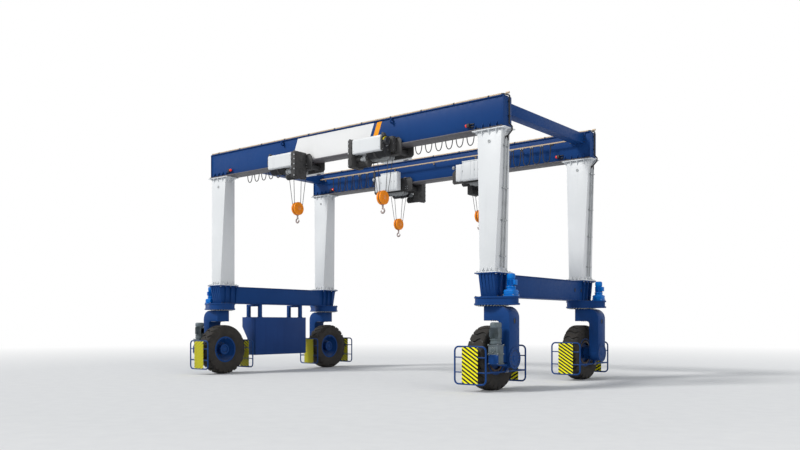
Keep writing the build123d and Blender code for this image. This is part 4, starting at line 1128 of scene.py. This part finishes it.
def end_box(bm):
    """Plate at the drum's outboard end with a box, and a round cap with a pale and a yellow arc."""
    outline = ((0.294, -0.200), (0.755, -0.200), (0.755, 0.140), (0.700, 0.200), (0.640, 0.220),
               (0.294, 0.220))
    plate_yz(bm, [(beam_y + b, girder_z + c) for b, c in outline], (hook_x + 0.518, hook_x + 0.556),
             "charcoal", 0.008)
    hoist_block(bm, (0.530, 0.690), (0.294, 0.445), (-0.195, 0.215), rounding=0.012)
    hoist_block(bm, (0.690, 0.698), (0.310, 0.430), (-0.175, 0.195), rounding=0.003)
    heads = grid(hoist_spot(0.698, 0.370, 0.010), ys=(-0.045, 0.045), zs=(-0.165, 0.0, 0.165))
    bolts(bm, heads, X, "zinc", 0.016, 0.006)
    heads = grid(hoist_spot(0.556, 0, 0), ys=(0.480, 0.715), zs=(-0.165, 0.010))
    bolts(bm, heads, X, "zinc", 0.020, 0.008)
    centre = hoist_spot(0.552, 0.5925, 0.050)
    cap = ((0.0, 0.0), (0.0, 0.112), (0.070, 0.112), (0.092, 0.100), (0.098, 0.074), (0.088, 0.060),
           (0.088, 0.0))
    turned(bm, cap, centre, X, "bolt")
    for first, last, finish in ((95, 265, "frame"), (15, 85, "yellow")):
        line = [centre + Vector((0.020, b, c)) for b, c in arc((0, 0), 0.118, first, last, 12)]
        tube(bm, line, 0.017, finish)
    # Lug of the rope guide's stop, over the cover's edge
    lug = ((0.500, 0.180), (0.500, 0.262), (0.530, 0.290), (0.575, 0.278), (0.600, 0.215), (0.600, 0.180))
    plate_xz(bm, [(hook_x + a, girder_z + c) for a, c in lug], (beam_y + 0.600, beam_y + 0.700), "charcoal",
             0.006)


def crosshead(bm):
    """Light grey crosshead with its return sheaves, under the frame."""
    half = ((0.330, -0.215), (0.330, -0.270), (0.280, -0.320))
    outline = [(hook_x + a, girder_z + c) for a, c in (*half, *((-a, c) for a, c in reversed(half)))]
    sheave = ((-0.018, 0.020), (-0.018, 0.088), (-0.012, 0.090), (-0.004, 0.076), (0.004, 0.076),
              (0.012, 0.090), (0.018, 0.088), (0.018, 0.020), (-0.018, 0.020))
    for b in (-0.090, 0.150):
        plate_xz(bm, outline, (beam_y + b, beam_y + b + 0.020), "frame", 0.002)
    for a in (-0.200, 0.200):
        for b in (-0.030, 0.110):
            turned(bm, sheave, hoist_spot(a, b, -0.240), Y, "frame", 32)
        rod(bm, hoist_spot(a, -0.088, -0.240), hoist_spot(a, 0.168, -0.240), 0.022, "forged", 16)


def hoist_cover_shape(hand):
    """Drum cover with rounded outer edges, and the cabinet whose low part and knob lie to one hand."""
    bm = bmesh.new()
    x, y, z = (-0.478, 0.518), (0.330, 0.780), (-0.200, 0.220)
    outline = [(y[0], z[0]), (y[0], z[1])]
    outline += arc((y[1] - 0.070, z[1] - 0.070), 0.070, 90, 0, 8)
    outline += arc((y[1] - 0.040, z[0] + 0.040), 0.040, 0, -90, 6)
    plate_yz(bm, [(beam_y + b, girder_z + c) for b, c in outline], (hook_x + x[0], hook_x + x[1]), "white",
             0.004)
    heads = grid(hoist_spot(0.020, y[1] - 0.001, 0), (-0.468, 0.468), zs=(-0.110, 0.100))
    bolts(bm, heads, Y, "zinc", 0.016, 0.006)
    cabinet(bm, hand)
    return bm


def cabinet(bm, hand):
    """Electric cabinet on the inner side: tall ribbed part, lower plain part, roof bolts and a knob."""
    middle, half, face, back, low, high, step = 0.016, 0.496, -0.632, -0.440, -0.245, 0.375, 0.290

    def across(*places):
        return outward(middle, hand, *places)
    panel = (low + 0.020, high - 0.050)
    # Tall body, its roof, low body, its door, plain door and three ribs, and their rounding
    blocks = [(across(-half, 0.250), (face, back), (low, high - 0.010), 0.008),
              (across(-half, 0.256), (face - 0.010, back), (high - 0.034, high), 0.006),
              (across(0.250, half), (face, back), (low, step), 0.008),
              (across(0.262, half - 0.014), (face - 0.008, face + 0.010), (-0.225, 0.270), 0.006),
              (across(-0.080, 0.240), (face - 0.008, face + 0.010), panel, 0.008)]
    blocks += [(across(start, start + 0.124), (face - 0.012, face + 0.010), panel, 0.008)
               for start in (-0.484, -0.350, -0.216)]
    for along_x, along_y, up, rounding in blocks:
        hoist_block(bm, along_x, along_y, up, "white", rounding)
    for start in (-0.374, -0.240, 0.226):
        handle = hoist_spot(*across(start), face - 0.012, 0.050)
        rod(bm, handle - 0.030 * Z, handle + 0.030 * Z, 0.005, "plastic", 8)
    for a, up in ((-0.440, high), (-0.180, high), (0.080, high), (0.330, step)):
        bolts(bm, [hoist_spot(*across(a), -0.500, up)], Z, "zinc", 0.030, 0.016)
    stalk = [hoist_spot(*across(half - 0.010), -0.540, 0.180),
             hoist_spot(*across(half + 0.110), -0.540, 0.205)]
    rod(bm, *stalk, 0.016, "plastic", 12)
    knob = ((0.0, 0.0), (0.006, 0.040), (0.034, 0.056), (0.064, 0.054), (0.090, 0.030), (0.098, 0.0))
    turned(bm, knob, stalk[1] - hand * 0.004 * X, (hand, 0, 0.3), "frame", 24)
    for a in (-0.340, 0.372):
        hoist_block(bm, around(a, 0.070), (back, -0.294), (-0.210, -0.140))
    for a in (0.300, 0.345, 0.390, 0.435):
        gland = hoist_spot(*across(a), -0.520, low)
        rod(bm, gland, gland - 0.030 * Z, 0.014, "plastic", 10)


def rope_shape(hand):
    """Four straight falls of rope from the crosshead's sheaves down into the block's guards; each
    stands for one run, with rings only at its ends."""
    bm = bmesh.new()
    top, stop = girder_z - 0.325, 0.105
    for i, j in product((-1, 1), (-1, 1)):
        # The falls of one sheave part along the girder, as they do in the photograph
        upper = Vector((hook_x + hand * j * 0.270, hook_y + hand * i * 0.100, top))
        lower = Vector((hook_x + i * 0.036, hook_y + j * 0.158, block_axle_z))
        lower = lower.lerp(upper, stop / (top - block_axle_z))
        rod(bm, upper + 0.020 * Z, lower, 0.009, "rope", 12)
    return bm


def hook_block_shape():
    """Two sheaves in round guards with spoked faces, bolted cheeks and the trunnion below."""
    bm = bmesh.new()
    centre = Vector((hook_x, hook_y, block_axle_z))
    cheeks = ((-0.120, -0.070), (-0.062, -0.183), (0.062, -0.183), (0.120, -0.070), (0.070, 0.070),
              (-0.070, 0.070))
    guard = ((0.0, 0.0), (0.0, 0.184), (0.008, 0.194), (0.018, 0.199), (0.046, 0.199), (0.056, 0.194),
             (0.064, 0.182), (0.064, 0.150), (0.056, 0.142), (0.056, 0.0))
    cap = ((0.0, 0.0), (0.0, 0.062), (0.006, 0.062), (0.012, 0.050), (0.012, 0.0))
    for side in (-1, 1):
        axis = side * X
        plate_yz(bm, [(centre.y + b, centre.z + c) for b, c in cheeks],
                 outward(centre.x, side, 0.012, 0.050), "orange", 0.003)
        turned(bm, guard, centre + 0.014 * axis, axis, "orange", 56)
        for degree in range(30, 390, 60):
            spoke = Vector((0, cos(radians(degree)), sin(radians(degree))))
            start = centre + 0.069 * axis + 0.060 * spoke
            rod(bm, start, start + 0.090 * spoke, 0.009, "orange", 8)
        turned(bm, cap, centre + 0.070 * axis, axis, "orange", 28)
        bolts(bm, ring(centre + 0.076 * axis, axis, 0.042, 6), axis, "zinc", 0.016, 0.008)
        bolts(bm, grid(centre + 0.050 * axis - 0.160 * Z, ys=(-0.036, 0.036)), axis, "zinc", 0.020, 0.008)
    sheaves = ((-0.020, 0.060), (-0.020, 0.150), (-0.008, 0.180), (0.008, 0.180), (0.020, 0.150),
               (0.020, 0.060), (-0.020, 0.060))
    turned(bm, sheaves, centre, X, "bolt", 48)
    cuboid(bm, around(centre.x, 0.100), around(centre.y, 0.104), (centre.z - 0.182, centre.z - 0.130),
           "orange", 0.006)
    return bm


def hook_shape():
    """Forged single hook: a thick saddle that thins to its point, with a shank, a nut and a latch."""
    bm = bmesh.new()
    low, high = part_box("hook_far_right")
    bowl, thick = 0.048, 0.042
    centre = Vector((hook_x, hook_y, low.z + bowl + thick))
    # Turn round the bowl in degrees, inner radius, depth and half width of the section there
    stations = ((96, 0.034, 0.044, 0.017), (78, 0.036, 0.044, 0.018), (55, 0.038, 0.045, 0.019),
                (30, 0.039, 0.047, 0.021), (5, 0.040, 0.049, 0.022), (-20, 0.039, 0.051, 0.022),
                (-50, 0.038, 0.052, 0.022), (-90, 0.038, 0.052, 0.022), (-125, 0.038, 0.051, 0.022),
                (-150, 0.039, 0.048, 0.020), (-172, 0.041, 0.041, 0.017), (-190, 0.045, 0.031, 0.013),
                (-202, 0.050, 0.018, 0.008))
    steps = [[a + (b - a) * i / 3 for a, b in zip(first, last)]
             for first, last in zip(stations, stations[1:]) for i in range(3)]
    sections = []
    for turn, inner, depth, half in (*steps, stations[-1]):
        radial = Vector((cos(radians(turn)), 0, sin(radians(turn))))
        # Wider on the inside of the bowl, as a forged hook is
        sections.append([centre + radial * (inner + depth / 2 + depth / 2 * cos(t))
                         + half * sin(t) * (1.0 - 0.25 * cos(t)) * Y
                         for t in (2 * pi * i / 20 for i in range(20))])
    swept(bm, sections, "forged")
    neck = centre + (bowl + 0.006) * Z
    top = high.z - neck.z
    shank = ((-0.012, 0.0), (-0.012, 0.030), (0.010, 0.028), (0.024, 0.0255), (top - 0.030, 0.0255),
             (top - 0.030, 0.040), (top - 0.006, 0.040), (top - 0.002, 0.036), (top - 0.002, 0.0))
    turned(bm, shank, neck, Z, "forged", 32)
    tip = (0.050 * cos(radians(140)) - 0.010, 0.050 * sin(radians(140)) + 0.016)
    for b in (-0.010, 0.010):
        rod(bm, centre + Vector((-0.010, b, 0.058)), centre + Vector((tip[0], b, tip[1])), 0.0035, "zinc", 8)
    return bm


# Loops of cable: along X from the inboard carrier and up from its underside, in metres
LOOP_ROUTES = {  # side along Y: points of the loops on that girder
    -1: ((0.040, 0), (0.040, -0.325), (0.086, -0.685), (0.257, -0.690), (0.304, -0.335), (0.304, 0)),
    1: ((0.040, 0), (0.040, -0.235), (0.084, -0.492), (0.258, -0.496), (0.304, -0.240), (0.304, 0)),
}
CABLE_WIDTH = 0.026
LOOP_PITCH = 0.344
LOOPS = 6
carrier_top = tracks_high.z - 0.036
carrier_under = carrier_top - 0.046
clamp_half = 0.060                   # half length of a cable clamp


def carrier_place(step):
    """How far out along X a carrier hangs; the first is the trolley's clamp, the last a fixed one."""
    return hook_x + tow_reach + step * LOOP_PITCH


def follow(piece):
    """Bake a carrier's, or a loop's, transform into its mesh."""
    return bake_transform(piece)


def loop_line(sides, step):
    """Points of one hanging loop, read from a smooth curve on its route."""
    points = [(sides[0] * (carrier_place(step) + out), sides[1] * festoon_y, carrier_under + up)
              for out, up in LOOP_ROUTES[sides[1]]]
    mesh = curve_mesh("NURBS", points, resolution_u=16, order_u=3, use_endpoint_u=True)
    line = [vert.co.copy() for vert in mesh.vertices]
    bpy.data.meshes.remove(mesh)
    return line


def carrier_shape(step):
    """Cable trolley: body on two rollers in the rail, with a saddle clamp on the cable."""
    bm = bmesh.new()
    x, y = carrier_place(step), festoon_y
    cuboid(bm, around(x, 0.116), around(y, 0.030), (carrier_under + 0.012, carrier_top - 0.010), "plastic",
           0.004)
    cuboid(bm, around(x, 0.100), around(y, 0.036), (carrier_under, carrier_under + 0.014), "plastic", 0.003)
    for a in (-0.036, 0.036):
        axle = Vector((x + a, y, carrier_top - 0.014))
        rod(bm, axle - 0.018 * Y, axle + 0.018 * Y, 0.014, "zinc", 14)
        bolts(bm, [(x + a / 2, y, carrier_under + 0.002)], -Z, "zinc", 0.014, 0.006)
    return bm


def track_shape():
    """Cable rails on arms along both inner webs, with the cables' fixed clamps."""
    bm = bmesh.new()
    end, top, web = tracks_high.x, tracks_high.z, beam_y - web_half
    arm_pitch, foot = 1.700, 0.008
    half = ((0.018, 0.036), (0.018, 0.0), (0.008, 0.0), (0.008, 0.006), (0.013, 0.006), (0.013, 0.032))
    outline = (*half, *((-b, c) for b, c in reversed(half)))
    for side in (-1, 1):
        plate_yz(bm, [(side * (festoon_y + b), carrier_top + c) for b, c in outline], (-end, end), "conduit")
        for step in range(-3, 4):
            x = step * arm_pitch
            cuboid(bm, around(x, 0.050), outward(0, side, festoon_y - 0.016, web), (top - 0.018, top),
                   "conduit", 0.002)
            cuboid(bm, around(x, 0.062), outward(0, side, web, web - foot), (top - 0.060, top), "conduit",
                   0.002)
            bolts(bm, grid((x, side * (web - foot), top - 0.045), (-0.016, 0.016)), -side * Y, "zinc", 0.014,
                  0.006)
        for sign in (-1, 1):
            cuboid(bm, around(sign * carrier_place(LOOPS), 2 * clamp_half), around(side * festoon_y, 0.036),
                   (carrier_under, carrier_top), "plastic", 0.003)
            cuboid(bm, around(sign * (end - 0.010), 0.020), around(side * festoon_y, 0.044),
                   (carrier_top - 0.020, carrier_top + 0.040), "plastic", 0.003)
    return bm


def conduit_shape():
    """Conduits with their saddles along the girders' tops, and the pipes down the right legs."""
    bm = bmesh.new()
    radius, saddle_pitch = 0.0248, 1.060
    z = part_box("cable_conduits")[1].z - radius - 0.003
    end = girder_half - 0.060
    for side in (-1, 1):
        # The near edge of each top flange, where the photograph shows it
        y = side * beam_y - top_flange[0] + 0.022
        rod(bm, (-end, y, z), (end, y, z), radius, "conduit")
        for step in range(-5, 6):
            x = step * saddle_pitch
            cuboid(bm, around(x, 0.046), around(y, 0.070), (girder_top, z - 0.006), "bolt", 0.003)
            for start, stop, finish in ((-0.023, 0.023, "bolt"), (0.500, 0.590, "conduit")):
                rod(bm, (x + start, y, z), (x + stop, y, z), radius + 0.003, finish)
        leg_pipes(bm, side * beam_y)
        girder_end_cable(bm, side * beam_y, (end, y, z))
    return bm


def leg_face(height):
    """Place along X of a right leg's outer face at a height."""
    foot, head = saddle_top + leg_flange, girder_z - leg_flange
    return corner_x + leg_base[0] + (leg_head[0] - leg_base[0]) * (height - foot) / (head - foot)


PIPE_STAND = 0.036                   # pipes' middle off the leg's face
PIPE_Y = 0.065                       # and off the leg's middle


def leg_pipes(bm, middle):
    """Two pipes down a right leg, with couplings and bolted clamps."""
    start, stop = saddle_top + leg_flange + 0.100, girder_z - leg_flange - 0.260

    def spot(y, height, out=PIPE_STAND):
        return Vector((leg_face(height) + out, y, height))
    for y in (middle - PIPE_Y, middle + PIPE_Y):
        rod(bm, spot(y, start), spot(y, stop), 0.019, "frame")
        for share in (0.22, 0.50, 0.78):
            height = start + share * (stop - start)
            rod(bm, spot(y, height - 0.050), spot(y, height + 0.050), 0.023, "frame")
    for share in (0.09, 0.37, 0.62, 0.95):
        height = start + share * (stop - start)
        x = leg_face(height)
        cuboid(bm, (x - 0.001, x + 0.016), around(middle, 0.250), around(height, 0.036), "frame", 0.003)
        cuboid(bm, outward(x + PIPE_STAND, 1, 0.017, 0.024), around(middle, 0.210), around(height, 0.036),
               "frame", 0.002)
        for y in outward(middle, 1, -0.105, 0.0, 0.105):
            rod(bm, spot(y, height, 0.0), spot(y, height, PIPE_STAND + 0.034), 0.007, "zinc", 8)


def girder_end_cable(bm, middle, start):
    """Black cable from a conduit over the girder's end to one leg pipe, and a loop out of the other."""
    head = girder_z - leg_flange
    out, y, plate_edge = girder_half + 0.026, middle + 0.055, leg_high.x + 0.024
    line = [start, (girder_half - 0.010, *start[1:]), (out + 0.010, y, start[2]),
            (out, y, girder_top - 0.150), (out, y, girder_z + 0.120), (plate_edge, y, girder_z + 0.030),
            (plate_edge, y, girder_z - 0.060), (leg_face(head - 0.150) + 0.040, y, head - 0.150),
            (leg_face(head - 0.240) + PIPE_STAND, middle + PIPE_Y, head - 0.280)]
    tube(bm, line, 0.018, "sheath", 0.030, sides=12)
    # Drop at which the leg's face is read, how far off it, place along Y, and the point's own drop
    points = ((0.280, PIPE_STAND, -PIPE_Y, 0.280), (0.180, PIPE_STAND, -PIPE_Y, 0.200),
              (0.170, 0.020, 0.010, 0.170), (0.170, -0.010, 0.040, 0.170))
    loop = [(leg_face(head - at) + stand, middle + b, head - drop) for at, stand, b, drop in points]
    tube(bm, loop, 0.014, "sheath", 0.020)
    for z in (girder_top - 0.120, girder_z + 0.300):
        cuboid(bm, (girder_half, out + 0.022), around(y, 0.070), around(z, 0.024), "bolt", 0.003)


def lamp_shape():
    """Red lamps on forked black holders on the girders' webs that face the near side."""
    bm = bmesh.new()
    dome = ((0.0, 0.0), (0.0, 0.042), (0.030, 0.042), (0.048, 0.036), (0.060, 0.022), (0.064, 0.0))
    base = ((-0.012, 0.0), (-0.012, 0.045), (0.004, 0.045), (0.004, 0.0))
    for side in (-1, 1):
        for web in (-beam_y - web_half, beam_y - web_half):
            lamp = Vector((side * 4.684, web - 0.060, girder_z + 0.165))
            x, y, z = lamp
            turned(bm, dome, lamp - 0.001 * side * X, -side * X, "lens")
            turned(bm, base, lamp, -side * X, "plastic", 32)
            cuboid(bm, outward(x, side, 0.010, 0.070), (y - 0.043, web), around(z, 0.088), "plastic", 0.006)
            for rise in (-0.040, 0.030):
                cuboid(bm, outward(x, side, 0.060, 0.180), (web - 0.040, web), around(z + rise, 0.022),
                       "plastic", 0.003)
            cable = [(x + side * 0.040, y, z - 0.040), (x + side * 0.040, y, z - 0.060),
                     (x + side * 0.120, y + 0.040, z - 0.080), (x + side * 0.300, web - 0.008, z - 0.090)]
            tube(bm, cable, 0.006, "sheath", 0.012, sides=8)
    return bm


def corner_piece(corner, name, bm, body, node, sharp=32.0):
    """Piece mirrored to a corner, which rides on the body there and stands for the node there."""
    bm = mirrored(bm, *CORNERS[corner])
    place_piece(f"{name}_{corner}", bm, f"{body}_{corner}", f"{node}_{corner}", sharp)


class CraneOperator(bpy.types.Operator):
    """Base of the crane's operators."""
    bl_options = {"REGISTER", "UNDO"}


class CRANE_OT_girders(CraneOperator):
    """Two box girders with the blank panel, and the end beams between them"""
    bl_idname = "crane.girders"
    bl_label = "Girders"

    def execute(self, context):
        for name, side in (("near", -1), ("far", 1)):
            bm = girder_shape()
            if side < 0:
                name_panel(bm)
            bm = mirrored(bm, 1, side)
            place_piece(f"girder_{name}_box", bm, "gantry", f"girder_{name}")
        place_piece("end_beam_boxes", end_beam_shape(), "gantry", "end_beams")
        return {"FINISHED"}


class CRANE_OT_legs(CraneOperator):
    """Four tapered legs"""
    bl_idname = "crane.legs"
    bl_label = "Legs"

    def execute(self, context):
        for corner, sides in CORNERS.items():
            bm = mirrored(leg_shape(sides[0] > 0), sides[0], 1)
            if sides[1] < 0:
                # The near legs keep their inspection port on the near side
                bmesh.ops.translate(bm, vec=(0, -2 * beam_y, 0), verts=bm.verts)
            place_piece(f"leg_box_{corner}", bm, "gantry", f"leg_{corner}")
        return {"FINISHED"}


class CRANE_OT_saddles(CraneOperator):
    """Saddle beams with their slewing housings, and the steering gearmotors on them"""
    bl_idname = "crane.saddles"
    bl_label = "Saddles"

    def execute(self, context):
        for name, side in (("left", -1), ("right", 1)):
            bm = mirrored(saddle_shape(), side, 1)
            place_piece(f"saddle_beam_{name}", bm, "gantry", f"saddle_{name}")
        for corner, sides in CORNERS.items():
            bm = mirrored(steering_motor_shape(), *sides)
            place_piece(f"steering_motor_{corner}", bm, "gantry", "steering_gearmotors")
        return {"FINISHED"}


class CRANE_OT_bogies(CraneOperator):
    """Wheel brackets with their guards and drive gearmotors"""
    bl_idname = "crane.bogies"
    bl_label = "Bogies"

    def execute(self, context):
        for corner, sides in CORNERS.items():
            driven = sides[1] < 0
            corner_piece(corner, "wheel_bracket", bracket_shape(driven), "bogie", "bracket")
            corner_piece(corner, "wheel_guard", guard_shape(sides), "bogie", "guard")
            if driven:
                corner_piece(corner, "drive_motor", drive_motor_shape(), "bogie",
                             "drive_gearmotor")
        return {"FINISHED"}


class CRANE_OT_wheels(CraneOperator):
    """Tyres and rims"""
    bl_idname = "crane.wheels"
    bl_label = "Wheels"

    def execute(self, context):
        for corner in CORNERS:
            corner_piece(corner, "lugged_tyre", tyre_shape(), "wheel", "tyre")
            corner_piece(corner, "dished_rim", rim_shape(), "wheel", "rim")
        return {"FINISHED"}


class CRANE_OT_house(CraneOperator):
    """Power house under the left saddle"""
    bl_idname = "crane.house"
    bl_label = "Power house"

    def execute(self, context):
        sheets, frames = mirrored(power_house_shape(), -1, 1), mirrored(hanger_shape(), -1, 1)
        place_piece("power_house_sheets", sheets, "gantry", "power_house")
        place_piece("power_house_frames", frames, "gantry", "power_house_hangers")
        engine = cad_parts["engine_block"]
        engine.data.materials.clear()
        engine.data.materials.append(finish_named("casting"))
        return {"FINISHED"}


class CRANE_OT_hoists(CraneOperator):
    """Hoist trolleys, their covers, the falls of rope, the hook blocks and the hooks"""
    bl_idname = "crane.hoists"
    bl_label = "Hoists"

    def execute(self, context):
        for corner, sides in CORNERS.items():
            hand = sides[0] * sides[1]
            corner_piece(corner, "hoist_gear", hoist_machine_shape(), "trolley",
                         "hoist_machine")
            corner_piece(corner, "hoist_housing", hoist_cover_shape(-hand), "trolley",
                         "hoist_covers")
            piece = make_piece(f"rope_falls_{corner}", mirrored(rope_shape(hand), *sides))
            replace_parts(piece, f"hoist_ropes_{corner}")
            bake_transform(piece)
            corner_piece(corner, "sheave_block", hook_block_shape(), "block", "hook_block")
            corner_piece(corner, "forged_hook", hook_shape(), "hook", "hook", 50)
        return {"FINISHED"}


class CRANE_OT_festoon(CraneOperator):
    """Cable rails, carriers and the hanging loops of cable"""
    bl_idname = "crane.festoon"
    bl_label = "Festoon"

    def execute(self, context):
        place_piece("cable_rails", track_shape(), "gantry", "festoon_tracks")
        for corner, sides in CORNERS.items():
            for step in range(1, LOOPS):
                bm = mirrored(carrier_shape(step), *sides)
                piece = make_piece(f"cable_carrier_{corner}_{step}", bm)
                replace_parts(piece, "festoon_carriers")
                follow(piece)
            for step in range(LOOPS):
                line = loop_line(sides, step)
                bm = bmesh.new()
                tube(bm, line, CABLE_WIDTH / 2, "sheath")
                piece = make_piece(f"cable_loop_{corner}_{step}", bm, 60)
                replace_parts(piece, f"festoon_cable_{corner}")
                follow(piece)
        return {"FINISHED"}


class CRANE_OT_fittings(CraneOperator):
    """Conduits, leg pipes and warning lamps"""
    bl_idname = "crane.fittings"
    bl_label = "Fittings"

    def execute(self, context):
        place_piece("conduit_runs", conduit_shape(), "gantry", "cable_conduits")
        place_piece("red_lamps", lamp_shape(), "gantry", "warning_lamps")
        return {"FINISHED"}


class CRANE_OT_stage(CraneOperator):
    """Pale floor, soft light and the camera"""
    bl_idname = "crane.stage"
    bl_label = "Stage"

    def execute(self, context):
        scene = context.scene
        scene.view_settings.view_transform = "Standard"
        make_floor()
        make_sky(scene)
        # Soft sun from the near left, and a warm glow from the yard at the right
        add_sun("soft sun", 2.35, 14, (1.0, 0.98, 0.94), (-0.45, -0.80, 0.78))
        add_sun("warm fill", 0.5, 40, (1.0, 0.94, 0.87), (0.90, -0.20, 0.35))
        view = scene.crane_view
        camera = bpy.data.cameras.new("yard camera")
        camera.lens = view.lens
        camera.sensor_width = 36
        camera.shift_y = view.rise
        camera.clip_end = 400
        scene.camera = link_object("yard camera", camera)
        scene.camera.location = view.place
        scene.camera.rotation_euler = (radians(90), 0, view.heading)
        return {"FINISHED"}


def add_sun(name, energy, spread, colour, source):
    """Sun light from a direction, as wide as its spread in degrees."""
    sun = bpy.data.lights.new(name, "SUN")
    sun.energy = energy
    sun.angle = radians(spread)
    sun.color = colour
    link_object(name, sun).rotation_euler = Vector(source).to_track_quat("Z", "Y").to_euler()


def make_floor():
    """Round pale floor that fades to white far from the crane and keeps its shadow near it."""
    bm = bmesh.new()
    bmesh.ops.create_circle(bm, cap_ends=True, segments=96, radius=180)
    mesh = bpy.data.meshes.new("yard floor")
    bm.to_mesh(mesh)
    bm.free()
    floor = link_object("yard_floor", mesh)
    finish, tree, shader, place = new_finish("pale concrete floor", Roughness=0.9, Specular_IOR_Level=0.2)
    grain = add_node(tree, "TexNoise", {"Vector": place["Object"], "Scale": 2.9, "Detail": 6.0})[0]
    tone = add_node(tree, "Mix", {0: grain, 6: "#D8DADD", 7: "#E2E4E6"}, data_type="RGBA")[2]
    tree.links.new(tone, shader["Base Color"])
    far = add_node(tree, "VectorMath", {0: place["Object"]}, operation="LENGTH")["Value"]
    fade = add_node(tree, "MapRange", {0: far, 1: 13.0, 2: 40.0, 3: 0.0, 4: 1.0})[0]
    seen = add_node(tree, "LightPath", {})["Is Camera Ray"]
    share = add_node(tree, "Math", {0: fade, 1: seen}, operation="MULTIPLY")[0]
    white = add_node(tree, "Emission", {"Strength": 1.0})[0]
    blend = add_node(tree, "MixShader", {0: share, 1: tree.nodes["Principled BSDF"].outputs[0], 2: white})[0]
    tree.links.new(blend, tree.nodes["Material Output"].inputs["Surface"])
    mesh.materials.append(finish)


def make_sky(scene):
    """Even pale sky, which is white where the camera sees it, also in what is clear or glossy."""
    world = bpy.data.worlds.new("pale sky")
    world.use_nodes = True
    scene.world = world
    tree = world.node_tree
    sky = tree.nodes["Background"]
    sky.inputs["Color"].default_value = (0.93, 0.96, 1.0, 1)
    sky.inputs["Strength"].default_value = 0.45
    white = add_node(tree, "Background", {"Color": "#FFFFFF", "Strength": 1.0})[0]
    path = add_node(tree, "LightPath", {})
    seen = path["Is Camera Ray"]
    for ray in ("Is Transmission Ray", "Is Glossy Ray"):
        seen = add_node(tree, "Math", {0: seen, 1: path[ray]}, operation="MAXIMUM")[0]
    blend = add_node(tree, "MixShader", {0: seen, 1: sky.outputs[0], 2: white})[0]
    tree.links.new(blend, tree.nodes["World Output"].inputs["Surface"])


class CRANE_PT_panel(bpy.types.Panel):
    """Crane pieces in the 3D view's sidebar"""
    bl_idname = "CRANE_PT_panel"
    bl_label = "Crane"
    bl_space_type = "VIEW_3D"
    bl_region_type = "UI"
    bl_category = "Crane"

    def draw(self, context):
        for operator in OPERATORS:
            self.layout.operator(operator.bl_idname)
        for group in GROUPS:
            settings = getattr(context.scene, group)
            for name in settings.__annotations__:
                self.layout.prop(settings, name)


OPERATORS = (CRANE_OT_girders, CRANE_OT_legs, CRANE_OT_saddles, CRANE_OT_bogies, CRANE_OT_wheels,
             CRANE_OT_house, CRANE_OT_hoists, CRANE_OT_festoon, CRANE_OT_fittings, CRANE_OT_stage)
GROUPS = {"crane_sizes": CraneSizes, "crane_paints": CranePaints, "crane_view": CraneView}


def register():
    for name, group in GROUPS.items():
        bpy.utils.register_class(group)
        setattr(bpy.types.Scene, name, bpy.props.PointerProperty(type=group))
    for item in (*OPERATORS, CRANE_PT_panel):
        bpy.utils.register_class(item)


def unregister():
    for item in (CRANE_PT_panel, *reversed(OPERATORS)):
        bpy.utils.unregister_class(item)
    for name, group in GROUPS.items():
        delattr(bpy.types.Scene, name)
        bpy.utils.unregister_class(group)


def main():
    """Build every piece in order."""
    register()
    bpy.ops.crane.girders()
    bpy.ops.crane.legs()
    bpy.ops.crane.saddles()
    bpy.ops.crane.bogies()
    bpy.ops.crane.wheels()
    bpy.ops.crane.house()
    bpy.ops.crane.hoists()
    bpy.ops.crane.festoon()
    bpy.ops.crane.fittings()
    bpy.ops.crane.stage()


if __name__ == "__main__":
    main()
